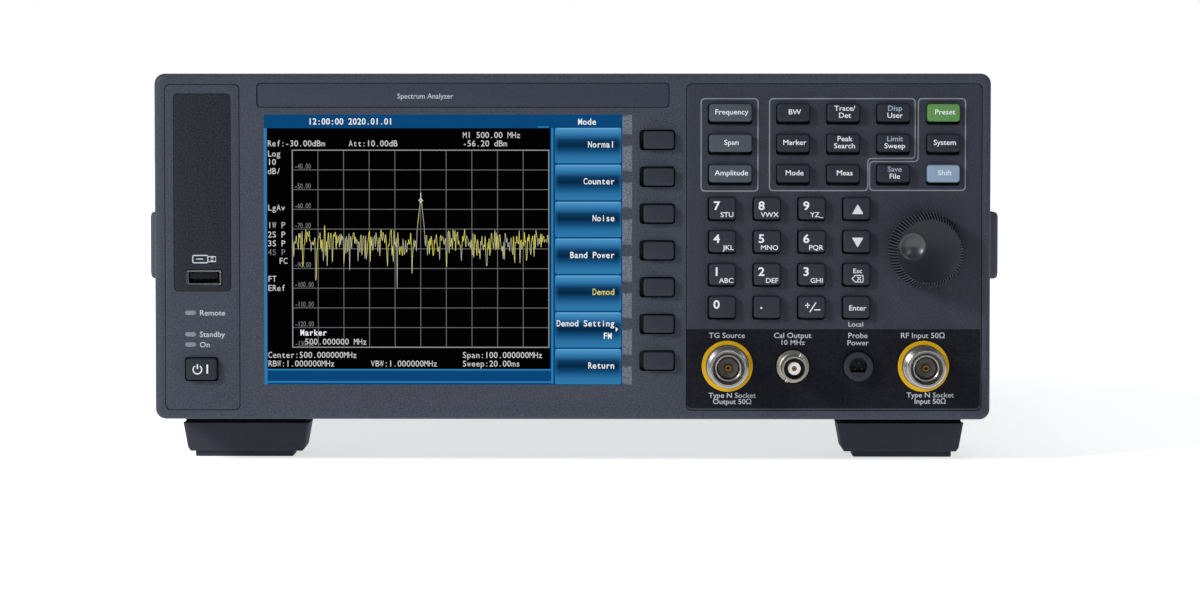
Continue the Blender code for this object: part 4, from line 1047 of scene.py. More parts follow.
for ring in range(1, RINGS):
    share = 1 - ring / RINGS
    new = []
    for vert in edge_ring:
        across = (vert.co.x - centre.x) / MM * share
        up = (vert.co.z - centre.z) / MM * share
        new.append(bm.verts.new(spot(KNOB_X + across, KNOB_UP + up, face_level(across, up))))
    for i in range(STEPS):
        j = (i + 1) % STEPS
        face = bm.faces.new((previous[i], previous[j], new[j], new[i]))
        offset = (face.calc_center_median() - hollow) / MM
        # Faces in the dimple take the glossier, lighter finish, its lighter tone a painted highlight.
        face.material_index = 1 if math.hypot(offset.x, offset.z) < DIMPLE[2] * 1.12 else 0
    previous = new
bm.faces.new(previous)
# Faces on the teeth's crests take the pale finish, a painted highlight, and faces in the valleys the dark
# one, painted shade.
for face in bm.faces:
    offset = (face.calc_center_median() - centre) / MM
    if math.hypot(offset.x, offset.z) > FACE_R:
        crest = math.cos(TEETH * math.atan2(offset.z, offset.x)) > 0.1
        face.material_index = 2 if crest else 3
bmesh.ops.recalc_face_normals(bm, faces=bm.faces)
skins = [KNOB_RUBBER, DIMPLE_GLOSS_AND_HIGHLIGHT, KNOB_CREST_HIGHLIGHT, KNOB_VALLEY_SHADE]
piece("knob_cap", bm, skins, body=KNOB_BODY, nodes=["tuning_knob"], smooth=50)
bm = bmesh.new()
add_turned(bm, [(3.0, KNOB_BACK - 1), (3.0, 8.0)], spot(KNOB_X, KNOB_UP), 32)
piece("knob_shaft", bm, STEEL, body=KNOB_BODY)
print("knob", round(KNOB_R * 2, 1), "mm across,", round(KNOB_BACK - KNOB_FRONT, 1), "mm high")

# %% [markdown]
# ## Coaxial sockets
# The two big sockets are the threaded kind: a plated barrel with a real thread, a bevelled mouth, an
# insulator and a slotted gold contact. Behind each lies a yellow ring, a reminder of its rating. The
# small one is a bayonet socket with two lugs. Each profile is turned in one go, from back to bore.

# %% Coaxial sockets
def place_of(node):
    across, up, size = panel_place(node)
    low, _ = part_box(node)
    return across, up, (low.y - FRAME_LOW.y) / MM


def threaded(radius, pitch, depth, start, end):
    """Profile of a thread's crests and roots, as turned grooves."""
    points = []
    level = start
    while level > end:
        points += [(radius - depth, level), (radius, level - pitch * 0.35)]
        points += [(radius, level - pitch * 0.5), (radius - depth, level - pitch * 0.85)]
        level -= pitch
    return points


def behind(mouth, *points):
    """Points of a profile whose levels are counted back from the socket's mouth."""
    return [(radius, mouth + back) for radius, back in points]


def add_ring(bm, profile, centre, steps=96):
    """A turned ring about Y, open in the middle, from (radius, level) points."""
    rows = []
    for radius, level in profile:
        rows.append([bm.verts.new(centre + Vector((u, level, v)) * MM) for u, v in circle(radius, steps)])
    for low, high in zip(rows, rows[1:] + rows[:1]):
        for i in range(steps):
            j = (i + 1) % steps
            bm.faces.new((low[i], low[j], high[j], high[i]))
    bmesh.ops.recalc_face_normals(bm, faces=bm.faces)


WARNING_RING = ((8.25, 0), (9.55, 0), (9.75, 0.15), (9.75, 0.45), (9.55, 0.6), (8.25, 0.6))
for node in ("source_output_connector", "rf_input_connector"):
    across, up, mouth = place_of(node)
    where = spot(across, up)
    face = FILM_FACE
    bm = bmesh.new()
    add_ring(bm, [(radius, face - proud) for radius, proud in WARNING_RING], where)
    piece(node + "_ring", bm, YELLOW_RING)

    bm = bmesh.new()
    profile = [(7.6, FACE_BACK + 2), (8.15, face - 0.7), (8.15, face - 1.4)]
    profile += [(7.9, face - 1.7), (7.0, face - 1.9)]
    profile += threaded(7.6, 1.06, 0.5, face - 2.0, mouth + 1.8)
    profile += behind(mouth, (7.0, 1.1), (7.15, 0.8), (7.1, 0.3), (6.85, 0), (6.2, 0))
    profile += behind(mouth, (6.05, 0.2), (5.75, 1.4), (5.45, 3.0), (5.3, 3.3))
    lip = [math.radians(angle) for angle in range(0, 181, 20)]
    profile += [(4.75 + 0.55 * math.cos(angle), mouth + 3.6 - 0.9 * math.sin(angle)) for angle in lip]
    profile += behind(mouth, (4.05, 5.0), (4.0, 8.5))
    # The deep bore and its floor take the darker plating, painted shade inside the socket.
    slots = [0] * (len(profile) - 2) + [1]
    add_turned(bm, profile, where, 96, slots)
    rings = turned_metal(node + "_metal", colour(196, 196, 194), across, up)
    piece(node + "_barrel", bm, [rings, BORE_PAINTED_SHADE], nodes=[node], smooth=25)

    bm = bmesh.new()
    core = behind(mouth, (3.9, 8.4), (3.9, 5.2), (3.7, 5.0), (1.9, 5.0), (1.8, 5.4))
    add_turned(bm, core, where)
    piece(node + "_insulator", bm, CORE_GREY)
    bm = bmesh.new()
    contact = behind(mouth, (1.25, 8.0), (1.25, 3.9), (1.1, 3.6), (0.75, 3.6), (0.65, 3.9), (0.6, 6.0))
    add_turned(bm, contact, where, 32)
    pin = piece(node + "_contact", bm, GOLD)
    for turn in (0, 1):
        bm = bmesh.new()
        size = Vector((3.0, 2.4, 0.22) if turn else (0.22, 2.4, 3.0)) * MM
        middle = spot(across, up, mouth + 4.0)
        add_block(bm, middle - size / 2, middle + size / 2)
        carve(pin, bm)

across, up, mouth = place_of("cal_output_connector")
where = spot(across, up)
bm = bmesh.new()
profile = [(6.1, FACE_BACK + 1), (6.2, FACE - 0.2), (6.2, -1.2), (6.0, -1.4)]
profile += [(5.2, -1.5), (5.2, -3.0), (4.8, -3.2)]
profile += behind(mouth, (4.8, 4.6), (4.8, 0.3), (4.6, 0), (4.15, 0), (4.0, 0.2), (4.0, 7.8))
add_turned(bm, profile, where)
bayonet_metal = turned_metal("bayonet_metal", colour(186, 182, 170), across, up, 0.42)
piece("bayonet_barrel", bm, bayonet_metal, nodes=["cal_output_connector"], smooth=25)
lug = {"segments": 24, "radius1": 1.0 * MM, "radius2": 0.85 * MM, "depth": 1.4 * MM}
bm = bmesh.new()
for turn in (60, 240):
    along = Vector((math.cos(math.radians(turn)), 0, math.sin(math.radians(turn))))
    matrix = Matrix.Translation(where + along * 5.3 * MM + Vector((0, (mouth + 4.2) * MM, 0)))
    matrix = matrix @ along.to_track_quat("Z", "Y").to_matrix().to_4x4()
    bmesh.ops.create_cone(bm, cap_ends=True, matrix=matrix, **lug)
piece("bayonet_lugs", bm, bayonet_metal)
bm = bmesh.new()
add_turned(bm, behind(mouth, (2.5, 7.7), (2.5, 1.9), (2.35, 1.6), (1.0, 1.6), (0.95, 5)), where)
piece("bayonet_insulator", bm, INSULATOR)
bm = bmesh.new()
add_turned(bm, behind(mouth, (0.85, 7.6), (0.85, 2.0), (0.7, 1.8), (0.4, 1.8), (0.35, 4)), where, 32)
piece("bayonet_contact", bm, GOLD)
bm = bmesh.new()
add_turned(bm, behind(mouth, (3.95, 7.8), (3.95, 6.4), (2.6, 6.4), (2.6, 7.8)), where)
piece("bayonet_base", bm, GREY_RING)

across, up, mouth = place_of("probe_power_socket")
where = spot(across, up)
bm = bmesh.new()
profile = [(5.6, FACE_BACK)] + behind(mouth, (5.6, 0.5), (5.45, 0.1), (5.2, 0), (3.7, 0))
profile += behind(mouth, (3.5, 0.15), (3.35, 0.5), (3.3, 8))
add_turned(bm, profile, where)
piece("probe_socket_shell", bm, PROBE_PLASTIC, nodes=["probe_power_socket"], smooth=25)
bm = bmesh.new()
add_turned(bm, behind(mouth, (3.4, 7.9), (3.4, 5.4), (3.2, 5.2)), where, 48)
chord = [math.radians(angle) for angle in range(-142, -37, 5)]
segment = [(3.42 * math.cos(angle), 3.42 * math.sin(angle)) for angle in chord]
add_stack(bm, [(segment, mouth + 0.35), (segment, mouth + 5.6)], where)
piece("probe_socket_key", bm, PROBE_PLASTIC)
bm = bmesh.new()
for turn in (90, 210, 330):
    middle = spot(across + 1.55 * math.cos(math.radians(turn)), up + 1.55 * math.sin(math.radians(turn)))
    add_turned(bm, behind(mouth, (0.42, 6), (0.42, 1.7), (0.2, 1.4)), middle, 16)
piece("probe_socket_pins", bm, PIN_METAL)
print("sockets", len(SOCKETS))

# %% [markdown]
# ## The display's finishes
# A display gives its own light, so its colours are emission, which no lamp in the room can change.
# The panel's dots are far too fine to see as dots, but they leave a faint grid on each lit area, and
# that grid is the fraction of the coordinate over the dot's size. The softkey labels have a glossy
# look: light at the top, dark through the middle and light again at the foot.

# %% The display's finishes
DOT = 0.17
GAP_SHARE = 0.12
UNLIT = {"Roughness": 0.5, "Specular IOR Level": 0.0, "Emission Strength": 1.0}


def grid_of_dots(here):
    """Darker lines between the dots of the panel."""
    column = (along_axis(here, 0) / (DOT * MM)).fraction().above(GAP_SHARE)
    row = (along_axis(here, 2) / (DOT * MM)).fraction().above(GAP_SHARE)
    return column * row


def lit(name, base):
    material, shader, _, here = start_finish(name, UNLIT | {"Base Color": (0.0003, 0.0003, 0.0003, 1)})
    glow = grid_of_dots(here)
    feed(shader, "Emission Color", glow.blend(tint(base, 0.75), base))
    return material


SCREEN_W = SCREEN_RIGHT - SCREEN_LEFT
SCREEN_H = SCREEN_TOP - SCREEN_BOTTOM
LABEL_PITCH = 14.12
LABEL_TOP = 5.0
LABEL_LEFT, LABEL_RIGHT = 111.4, 136.7


def label_finish(name):
    material, shader, _, here = start_finish(name, UNLIT | {"Base Color": (0.0005, 0.001, 0.002, 1)})
    first = spot(0, SCREEN_TOP - LABEL_TOP).z
    step = ((first - along_axis(here, 2)) / (LABEL_PITCH * MM)).fraction()
    stops = [
        (0.0, colour(120, 178, 214)[:3]), (0.05, colour(72, 145, 194)[:3]), (0.2, colour(44, 112, 162)[:3]),
        (0.33, colour(12, 58, 96)[:3]), (0.48, colour(4, 36, 62)[:3]), (0.62, colour(16, 72, 116)[:3]),
        (0.8, colour(42, 112, 160)[:3]), (0.95, colour(46, 122, 172)[:3]),
    ]
    shade = step.node("ShaderNodeValToRGB", {"stops": stops}, {"Fac": step})
    reach = (along_axis(here, 0) - (SCREEN_LEFT + LABEL_LEFT) * MM) / ((LABEL_RIGHT - LABEL_LEFT) * MM)
    edge = step.maths("ABSOLUTE", reach - 0.5) * 2
    edge = ((edge - 0.9) * 10).clamp() * 0.4
    feed(shader, "Emission Color", edge.blend(shade, colour(50, 118, 166)))
    return material


DARK_SCREEN = lit("screen_black", colour(1, 1, 2))
TITLE_BLUE = lit("screen_title_blue", colour(9, 72, 122))
EDGE_BLUE = lit("screen_edge_blue", colour(46, 126, 182))
LABEL_BLUE = label_finish("screen_softkey_label")
GRID_GREY = lit("screen_grid_grey", colour(116, 114, 114))
FRAME_GREY = lit("screen_frame_grey", colour(150, 148, 148))
DIM_TEXT = lit("screen_dim_text", colour(122, 122, 122))
WHITE_TEXT = lit("screen_white_text", colour(214, 214, 214))
BRIGHT_TEXT = lit("screen_bright_text", colour(244, 246, 248))
YELLOW_TEXT = lit("screen_yellow_text", colour(226, 214, 112))
FAINT_TEXT = lit("screen_faint_text", colour(120, 120, 124))
TRACE_YELLOW = lit("screen_trace_yellow", colour(252, 246, 96))
TRACE_GREY = lit("screen_trace_grey", colour(196, 196, 178))
print("screen", round(SCREEN_W, 1), "x", round(SCREEN_H, 1), "mm")

# %% [markdown]
# ## Drawing on the display
# The display is laid out from its own upper left corner, across and down. Nearly everything on it is a
# very thin solid, and each layer lies a few hundredths of a millimetre over the last. Display fonts give
# every letter the same width, so words are set letter by letter at an even pitch.

# %% Drawing on the display
LAYER = 0.03
GLASS_LEVEL = 2.15


def on_screen(across, down, layer):
    return spot(SCREEN_LEFT + across, SCREEN_TOP - down, GLASS_LEVEL - layer * LAYER)


def fill(bm, left, top, right, bottom, layer, corner=0.0):
    width, height = right - left, bottom - top
    middle = on_screen((left + right) / 2, (top + bottom) / 2, layer)
    if corner:
        shape = rectangle(width, height, corner, 4)
    else:
        u, v = width / 2, height / 2
        shape = [(-u, -v), (u, -v), (u, v), (-u, v)]
    add_stack(bm, [(shape, 0.0), (shape, LAYER * 0.6)], middle)


def screen_piece(name, bm, finish):
    return piece(name, bm, finish)


GLYPHS = {}


def glyph(letter, cap, bold, width):
    key = letter, cap, bold, width
    if key not in GLYPHS:
        mesh = flat_words(letter, cap, bold=bold)
        sides = [vert.co.x for vert in mesh.vertices] or [0]
        reach = max(sides) - min(sides)
        if reach > width:
            mesh.transform(Matrix.Diagonal((width / reach, 1, 1, 1)))
        GLYPHS[key] = mesh
    return GLYPHS[key]


def screen_words(bm, text, across, down, cap=2.25, pitch=1.71, bold=0.0, right=False):
    """Words with every letter on the same pitch, from a left edge or up to a right one."""
    start = across - pitch * len(text) if right else across
    turn = Matrix.Rotation(math.pi / 2, 4, "X")
    for number, letter in enumerate(text):
        if letter == " ":
            continue
        mesh = glyph(letter, cap, bold, pitch * 0.86).copy()
        place = on_screen(start + pitch * (number + 0.5), down + cap / 2, 5)
        mesh.transform(Matrix.Translation(place) @ Matrix.Scale(MM, 4) @ turn)
        bm.from_mesh(mesh)
        bpy.data.meshes.remove(mesh)


bm = bmesh.new()
fill(bm, -1.0, -1.0, SCREEN_W + 3.5, SCREEN_H + 1.0, -1)
screen_piece("screen_back", bm, DARK_SCREEN)
bm = bmesh.new()
fill(bm, -0.6, -0.6, SCREEN_W + 3.0, 5.2, 0)
fill(bm, -0.6, 97.9, 110.9, SCREEN_H + 0.6, 0)
fill(bm, 109.6, 5.2, SCREEN_W + 3.0, SCREEN_H + 0.6, 0)
screen_piece("screen_bars", bm, TITLE_BLUE)
bm = bmesh.new()
fill(bm, -0.6, 5.2, 1.0, SCREEN_H + 0.6, 1)
fill(bm, 1.0, 97.5, 110.5, 98.1, 1)
fill(bm, 1.0, SCREEN_H - 1.2, 110.5, SCREEN_H - 0.6, 1)
fill(bm, 109.9, 5.2, 110.7, SCREEN_H - 0.3, 1)
fill(bm, 105.0, 4.5, 109.0, 5.0, 2)
screen_piece("screen_edges", bm, EDGE_BLUE)
bm = bmesh.new()
for number in range(7):
    top = LABEL_TOP + LABEL_PITCH * number
    fill(bm, LABEL_LEFT, top + 0.1, LABEL_RIGHT, top + LABEL_PITCH - 0.55, 2, corner=0.7)
screen_piece("screen_softkey_labels", bm, LABEL_BLUE)

PLOT_LEFT, PLOT_TOP, PLOT_RIGHT, PLOT_BOTTOM = 10.75, 13.6, 109.0, 89.15
CELL_W = (PLOT_RIGHT - PLOT_LEFT) / 10
CELL_H = (PLOT_BOTTOM - PLOT_TOP) / 10
LINE = 0.25
bm = bmesh.new()
for number in range(1, 10):
    x = PLOT_LEFT + CELL_W * number
    y = PLOT_TOP + CELL_H * number
    fill(bm, x - LINE / 2, PLOT_TOP, x + LINE / 2, PLOT_BOTTOM, 1)
    fill(bm, PLOT_LEFT, y - LINE / 2, PLOT_RIGHT, y + LINE / 2, 1)
screen_piece("screen_grid", bm, GRID_GREY)
bm = bmesh.new()
for x in (PLOT_LEFT, PLOT_RIGHT):
    fill(bm, x - 0.2, PLOT_TOP - 0.2, x + 0.2, PLOT_BOTTOM + 0.2, 2)
for y in (PLOT_TOP, PLOT_BOTTOM):
    fill(bm, PLOT_LEFT, y - 0.2, PLOT_RIGHT, y + 0.2, 2)
screen_piece("screen_plot_frame", bm, FRAME_GREY)
print("plot cells", round(CELL_W, 2), "x", round(CELL_H, 2), "mm")

# %% [markdown]
# ## What the display says
# The words are those that any spectrum analyzer shows: the reference level, the attenuation, the
# sweep, and one marker. The values are plain round figures. The softkey labels end at the right
# edge, beside their keys, and the chosen one is yellow.

# %% What the display says
STATUS = [
    ("Ref:-30.00dBm", 1.2, 11.0), ("Att:10.00dB", 32.3, 11.0),
    ("M1 500.00 MHz", 76.0, 7.8), ("-56.20 dBm", 76.0, 11.0),
    ("Log", 1.2, 14.9), ("10", 1.2, 18.1), ("dB/", 1.2, 21.6), ("LgAv", 1.2, 35.6),
    ("2S P", 1.2, 45.9), ("3S P", 1.2, 49.3), ("FC", 5.5, 56.0), ("FT", 1.2, 62.9), ("ERef", 1.2, 66.4),
    ("500.000000 MHz", 15.3, 87.0),
    ("Center:500.000000MHz", 1.2, 92.1), ("Span:100.000000MHz", 75.8, 92.1),
    ("RBW:1.000000MHz", 1.2, 95.4), ("VBW:1.000000MHz", 40.6, 95.4), ("Sweep:20.00ms", 75.8, 95.4),
]
bm = bmesh.new()
for text, across, down in STATUS:
    screen_words(bm, text, across, down)
screen_piece("screen_status_words", bm, WHITE_TEXT)
bm = bmesh.new()
screen_words(bm, "Marker", 13.6, 83.5, bold=0.03)
screen_words(bm, "12:00:00 2020.01.01", 16.8, 2.6, cap=2.3, pitch=1.71, bold=0.02)
screen_words(bm, "Mode", 127.2, 2.7, cap=2.3, pitch=1.78, bold=0.02, right=True)
SOFT = {"cap": 2.3, "pitch": 1.72, "bold": 0.02, "right": True}
SOFT_WORDS = ["Normal", "Counter", "Noise", "Band Power", None, "Demod Setting", "Return"]
for number, word in enumerate(SOFT_WORDS):
    if word:
        down = 79.9 if word == "Demod Setting" else LABEL_TOP + LABEL_PITCH * (number + 0.45)
        screen_words(bm, word, 134.2, down, **SOFT)
screen_words(bm, "FM", 133.2, 84.7, **SOFT)
nib = [(0.0, -0.95), (0.95, 0.0), (0.0, 0.95)]
add_stack(bm, [(nib, 0.0), (nib, 0.02)], on_screen(134.6, 82.2, 5))
screen_piece("screen_bright_words", bm, BRIGHT_TEXT)
bm = bmesh.new()
screen_words(bm, "1W P", 1.2, 42.3)
screen_piece("screen_pale_words", bm, TRACE_GREY)
bm = bmesh.new()
screen_words(bm, "Demod", 134.2, LABEL_TOP + LABEL_PITCH * 4.45, **SOFT)
screen_piece("screen_yellow_words", bm, YELLOW_TEXT)
bm = bmesh.new()
screen_words(bm, "4S P", 1.2, 52.7)
screen_piece("screen_faint_words", bm, FAINT_TEXT)
bm = bmesh.new()
for number in range(1, 11):
    if number == 5:
        continue
    text = f"-{30 + 10 * number}.00"
    down = PLOT_TOP + CELL_H * number - 1.4
    screen_words(bm, text, PLOT_LEFT + 0.9, down, cap=1.9, pitch=1.04)
screen_piece("screen_level_words", bm, DIM_TEXT)
print("status words", len(STATUS))

# %% [markdown]
# ## The trace
# Noise on a log scale is lopsided: its tops are close together, and now and then it falls away
# deeply. The power of such noise falls off exponentially, and its logarithm has that shape. One carrier
# stands in the middle. One line joins the points, and its strokes have two brightnesses.

# %% The trace
SPECTRUM = random.Random(11)
POINTS = 400
NOISE_MIDDLE = 48.6
DECIBEL = CELL_H / 10
PEAK_AT = 0.501
PEAK_TOP = 17.5
STROKE = 0.15


def noise_level(rng):
    """Height in millimetres above or below the middle, for one point of logged noise."""
    power = -math.log(max(rng.random(), 1e-6))
    return max(0.8 * 10 * math.log10(power) * DECIBEL, -19.0) + 0.9


def draw_trace(rng):
    """One sweep, as upright strokes of two brightnesses."""
    points = []
    for number in range(POINTS):
        share = number / (POINTS - 1)
        down = NOISE_MIDDLE - noise_level(rng)
        away = abs(share - PEAK_AT) * (PLOT_RIGHT - PLOT_LEFT)
        if away < 1.5:
            down = min(down, NOISE_MIDDLE - PEAK_TOP * (1 - away / 1.9))
        points.append((PLOT_LEFT + share * (PLOT_RIGHT - PLOT_LEFT), down))
    level = GLASS_LEVEL - 4 * LAYER
    strokes = bmesh.new(), bmesh.new()
    for (x1, y1), (x2, y2) in zip(points, points[1:]):
        bm = strokes[0 if rng.random() < 0.55 else 1]
        half = STROKE / 2
        corners = [(x1, y1 - half), (x2, y2 - half), (x2, y2 + half), (x1, y1 + half)]
        if abs(y2 - y1) > abs(x2 - x1):
            corners = [(x1 - half, y1), (x1 + half, y1), (x2 + half, y2), (x2 - half, y2)]
        at = [bm.verts.new(spot(SCREEN_LEFT + x, SCREEN_TOP - y, level)) for x, y in corners]
        bm.faces.new(at)
    screen_piece("screen_trace_bright", strokes[0], TRACE_YELLOW)
    screen_piece("screen_trace_pale", strokes[1], TRACE_GREY)


draw_trace(SPECTRUM)
bm = bmesh.new()
peak_x = PLOT_LEFT + PEAK_AT * (PLOT_RIGHT - PLOT_LEFT)
diamond = [(peak_x, 32.0), (peak_x + 0.75, 32.8), (peak_x, 33.6), (peak_x - 0.75, 32.8)]
path = [(SCREEN_LEFT + x, SCREEN_TOP - y) for x, y in diamond]
add_strip(bm, path, 0.3, GLASS_LEVEL - 6 * LAYER, closed=True, ink=0.02)
fill(bm, peak_x - 0.12, 29.9, peak_x + 0.12, 31.6, 6)
screen_piece("screen_marker", bm, BRIGHT_TEXT)
print("points in a trace", POINTS)

# %% [markdown]
# ## Feet
# Each foot is a rubber block under a narrower neck, and a smaller pad below it stands on the bench.
# The neck is painted near-black as the shade under the frame. The block's sides lean in and the pad
# has a chamfer, so each foot is a stack of levels.

# %% Feet
def foot_plan(width, length, front, back):
    """Outline of a foot seen from above: small front corners and large back ones."""
    points = []
    corners = (back, 0, 1, 1), (back, 90, -1, 1), (front, 180, -1, -1), (front, 270, 1, -1)
    for corner, turn, side, end in corners:
        for step in range(5):
            angle = math.radians(turn + 90 * step / 4)
            middle = side * (width / 2 - corner), end * (length / 2 - corner)
            points.append((middle[0] + corner * math.cos(angle), middle[1] + corner * math.sin(angle)))
    return points


NECK_HEIGHT = 4.6
BACK_CORNER = 12.0


def foot(node):
    low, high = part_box(node)
    middle = (low + high) / 2
    size = (high - low) / MM
    outward = 0.8 * (1 if middle.x > 0 else -1)
    base = Vector((middle.x, middle.y, low.z))
    pad_base = base + Vector((outward * MM, -4.0 * MM, 0))
    pad = size.x - 11.1, size.y - 12.0
    rings = [(foot_plan(pad[0] - 0.6, pad[1] - 0.6, 0.5, 6.0), 0.0), (foot_plan(*pad, 0.8, 6.5), 0.3)]
    rings.append((foot_plan(*pad, 0.8, 6.5), 2.6))
    bm = bmesh.new()
    add_stack(bm, rings, pad_base, upright=True)
    shoulder = size.z - NECK_HEIGHT
    rings = [
        (foot_plan(size.x - 5.6, size.y - 2.0, 1.0, BACK_CORNER), 2.2),
        (foot_plan(size.x - 3.7, size.y - 0.6, 1.2, BACK_CORNER), 3.6),
        (foot_plan(size.x - 0.3, size.y, 1.2, BACK_CORNER), shoulder - 0.4),
        (foot_plan(size.x, size.y, 1.2, BACK_CORNER), shoulder - 0.2),
        (foot_plan(size.x - 0.4, size.y - 0.4, 1.0, BACK_CORNER), shoulder),
    ]
    add_stack(bm, rings, base, upright=True)
    piece(node + "_block", bm, FOOT_RUBBER, nodes=[node])
    # The neck takes the near-black rubber, painted shade under the frame.
    bm = bmesh.new()
    neck = size.x - 2.2, size.y - 2.0, 0.8, BACK_CORNER
    add_stack(bm, [(foot_plan(*neck), shoulder - 0.3), (foot_plan(*neck), size.z)], base, upright=True)
    piece(node + "_neck", bm, NECK_PAINTED_SHADE)


FEET = ["front_foot_left", "front_foot_right", "rear_foot_left", "rear_foot_right"]
for node in FEET:
    foot(node)

# %% [markdown]
# ## Carrying straps
# A strap runs along each side. It is a rubber band with a moulded block at each end, and a row of
# ribs gives the fingers grip. Band and blocks follow the frame's own solids, taken a little in.

# %% Carrying straps
STRAP_END = 24.0
RIBS = 34


def strap(node, side):
    low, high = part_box(node)
    middle = (low + high) / 2
    size = (high - low) / MM
    proud = size.x
    outer = side * proud / 2
    bm = bmesh.new()

    def slab(y_low, y_high, x_low, x_high, height, corner, edge):
        """A block whose outer face is rounded, standing off the sleeve's side."""
        length = y_high - y_low
        rings = []
        for inset, drop in eased(edge):
            outline = rectangle(length - 2 * inset, height - 2 * inset, max(corner - inset, 0.2))
            rings.append((outline, x_high - drop))
        rings.append((rectangle(length, height, corner), x_low))
        rows = []
        for points, level in rings:
            place = Vector((middle.x - outer * MM, low.y, middle.z))
            rows.append([bm.verts.new(place + Vector((side * level, (y_low + y_high) / 2 + u, v)) * MM)
                         for u, v in points])
        faces = [bm.faces.new(rows[0]), bm.faces.new(rows[-1])]
        for a, b in zip(rows, rows[1:]):
            for i in range(len(a)):
                j = (i + 1) % len(a)
                faces.append(bm.faces.new((a[i], a[j], b[j], b[i])))
        bmesh.ops.recalc_face_normals(bm, faces=faces)

    length = size.y
    height = size.z
    slab(0, STRAP_END, 0, proud, height, 3.0, 1.4)
    slab(length - STRAP_END, length, 0, proud, height, 3.0, 1.4)
    slab(STRAP_END - 4, length - STRAP_END + 4, proud - 2.6, proud - 0.2, height - 2.4, 2.0, 0.7)
    for number in range(RIBS):
        start = STRAP_END + 8 + (length - 2 * STRAP_END - 16) * number / (RIBS - 1)
        slab(start - 1.1, start + 1.1, proud - 0.4, proud, height - 6.0, 1.0, 0.25)
    for number in range(3):
        for start in (4.0 + 5.0 * number, length - 4.0 - 5.0 * number):
            slab(start - 0.8, start + 0.8, proud - 0.2, proud, height - 7.0, 0.7, 0.2)
    return piece(node + "_strap", bm, STRAP_RUBBER, nodes=[node])


for node, side in (("handle_left", -1), ("handle_right", 1)):
    strap(node, side)
print("straps 2")

# %% [markdown]
# ## Better finishes for the parts inside and behind
# The sleeve, the chassis and the boards keep the frame's own shapes. They only get finer finishes:
# a powder coat outside, galvanised sheet within, solder mask on the boards, and rolled sheet behind.

# %% Finishes for the other parts
def board_finish():
    material, shader, _, here = start_finish("solder_mask", {"Specular IOR Level": 0.5})
    wobble = noise(here, 9.0, 1.0) * 0.004
    lines = ((along_axis(here, 0) + wobble) / 0.0019).fraction().above(0.72)
    breaks = ((along_axis(here, 2) + wobble) / 0.012).fraction().above(0.2)
    tracks = lines * breaks
    feed(shader, "Base Color", tracks.blend(colour(22, 74, 46), colour(44, 112, 70)))
    feed(shader, "Roughness", 0.3 + tracks * 0.12)
    return material


def dull_metal(name, base, rough):
    return metal(name, base, rough=rough, scratch=1.4, stretch=(0.2, 1.0, 1.0))


NODE_FINISHES = {
    "case_sleeve": CASE_PAINT, "rear_panel": REAR_SHEET, "chassis": GALVANISED,
    "keypad_board": board_finish(), "rf_module": MILLED,
    "power_supply": dull_metal("supply_cover", colour(150, 153, 158), 0.45),
    "fan_rotor": moulded("fan_blades", colour(30, 31, 34), 0.6, 0.01, 0.08, rough=0.45),
    "display_module": dull_metal("display_can", colour(120, 123, 128), 0.4),
}
for node, finish in NODE_FINISHES.items():
    mesh = frame["nodes"][node].data
    mesh.materials.clear()
    mesh.materials.append(finish)
print("refinished", len(NODE_FINISHES))

# %% [markdown]
# ## Screws at the back
# The rear sheet is held by pan-head screws with a cross recess. They stand along its edges and at the
# corners of the fan, where a driver reaches them. All the heads are one piece, and two cuts make all
# the crosses.

# %% Screws at the back
POST_LENGTH = 24.8
SCREW_HEAD = 2.7
CROSS = 3.0, 0.65
rear_face = (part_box("rear_panel")[1].y - FRAME_LOW.y) / MM - POST_LENGTH
fan_across, fan_up, fan_size = panel_place("fan_rotor")
SCREWS = [(across, up) for across in (-90, -30, 30, 90) for up in (8, FRAME_H - 8)]
SCREWS += [(-151, FRAME_H / 2), (151, FRAME_H / 2)]
reach = fan_size.x / 2 * 0.92
SCREWS += [(fan_across + side * reach, fan_up + end * reach) for side in (-1, 1) for end in (-1, 1)]
bm = bmesh.new()
for across, up in SCREWS:
    head = [(SCREW_HEAD, rear_face + 0.02), (SCREW_HEAD, rear_face + 0.6)]
    head += [(SCREW_HEAD - 0.5, rear_face + 1.2), (SCREW_HEAD - 1.3, rear_face + 1.5)]
    add_turned(bm, head, spot(across, up), 32)
screws = piece("rear_screws", bm, STEEL)
for wide, tall in (CROSS, CROSS[::-1]):
    bm = bmesh.new()
    for across, up in SCREWS:
        half = Vector((wide, 2.0, tall)) * MM / 2
        middle = spot(across, up, rear_face + 1.7)
        add_block(bm, middle - half, middle + half)
    carve(screws, bm)
print("screws at the back", len(SCREWS))

# %% [markdown]
# ## The room
# The instrument stands on a white sweep. The floor is pale, the backdrop paler, and the light comes
# from soft panels: one at the upper left, a weaker one at the right and a large one above. The floor
# has a glow of its own that grows away from the instrument, so no horizon shows; its weaker glow
# near the instrument is a painted shadow round it.

# %% The room
# The floor's glow is weaker near the instrument, a painted shadow round it, and full far off.
NEAR_GLOW_PAINTED_SHADE = 0.64
FAR_GLOW = 1.02


def floor_finish():
    material, shader, _, here = start_finish("paper_sweep", {"Roughness": 0.9, "Specular IOR Level": 0.1})
    fibre = noise(here, 1.2, 3.0)
    feed(shader, "Base Color", fibre.blend(colour(246, 246, 246), colour(250, 250, 250)))
    away = here.node("ShaderNodeVectorMath", {"operation": "LENGTH"}, {0: here}, out=1)
    # Glow rises with distance from the origin: painted shadow near the instrument, white far off.
    far = ((away - 0.32) * 2.2).clamp()
    shader.inputs["Emission Strength"].default_value = 1.0
    feed(shader, "Emission Color", far.blend((*[NEAR_GLOW_PAINTED_SHADE] * 3, 1.0), (*[FAR_GLOW] * 3, 1.0)))
    return material


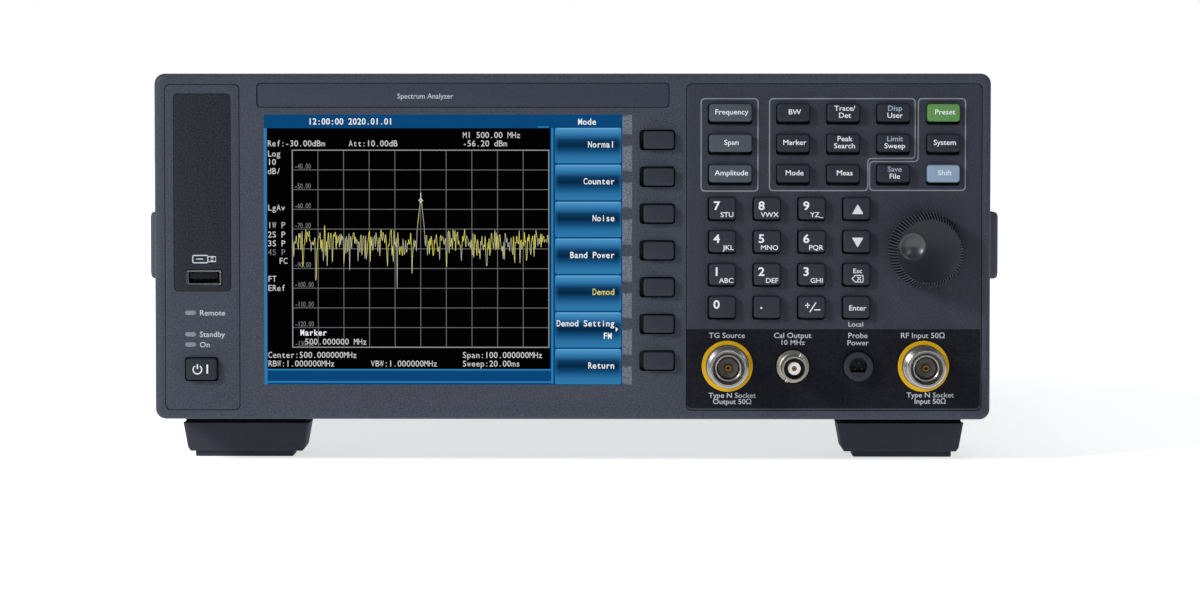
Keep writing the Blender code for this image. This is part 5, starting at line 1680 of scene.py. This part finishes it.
floor_mesh = bpy.data.meshes.new("floor")
bm = bmesh.new()
add_block(bm, Vector((-4.0, -0.75, -0.01)), Vector((4.0, 8.0, 0.0)))
bm.to_mesh(floor_mesh)
bm.free()
floor = bpy.data.objects.new("floor", floor_mesh)
floor_mesh.materials.append(floor_finish())
bpy.context.scene.collection.objects.link(floor)


def soft_panel(name, place, aim, width, height, power):
    light = bpy.data.lights.new(name, "AREA")
    light.shape = "RECTANGLE"
    light.size = width
    light.size_y = height
    light.energy = power
    obj = bpy.data.objects.new(name, light)
    obj.location = place
    direction = Vector(aim) - Vector(place)
    obj.rotation_euler = direction.to_track_quat("-Z", "Y").to_euler()
    bpy.context.scene.collection.objects.link(obj)
    return obj


soft_panel("key_panel", (-1.35, -1.25, 0.9), (0, -0.1, 0.08), 0.4, 0.4, 26)
soft_panel("side_panel", (1.5, -1.1, 0.9), (0, -0.1, 0.08), 0.4, 0.5, 4)
soft_panel("top_panel", (0.0, 0.3, 1.7), (0, 0.1, 0.0), 1.4, 1.0, 6)

world = bpy.data.worlds.new("white_room")
bpy.context.scene.world = world
world.use_nodes = True
tree = Socket(world.node_tree)
background = world.node_tree.nodes["Background"]
seen = tree.node("ShaderNodeLightPath", out=0)
feed(background, "Color", seen.blend((0.16, 0.165, 0.18, 1.0), (1.0, 1.0, 1.0, 1.0)))
background.inputs["Strength"].default_value = 1.0
print("lights", len(bpy.data.lights))

# %% [markdown]
# ## The camera
# The instrument is seen from a little over a metre away with a long lens, so its sides hardly show.
# The lens is level with its upper half, a touch to the right, and looks slightly down.

# %% The camera
DISTANCE = 1.35
ELEVATION = math.radians(2.2)
AZIMUTH = math.radians(0.65)
LENS = 105.95
SHIFT = 0.0233, -0.0442
centre = spot(0, FRAME_H / 2, 0)
level = math.cos(ELEVATION)
direction = Vector((math.sin(AZIMUTH) * level, -math.cos(AZIMUTH) * level, math.sin(ELEVATION)))
data = bpy.data.cameras.new("camera")
data.lens = LENS
data.sensor_width = 36.0
camera = bpy.data.objects.new("camera", data)
camera.location = centre + direction * DISTANCE
camera.rotation_euler = (-direction).to_track_quat("-Z", "Y").to_euler()
data.shift_x, data.shift_y = SHIFT
bpy.context.scene.collection.objects.link(camera)
bpy.context.scene.camera = camera
bpy.context.scene.view_settings.view_transform = "Standard"
bpy.context.scene.view_settings.look = "None"
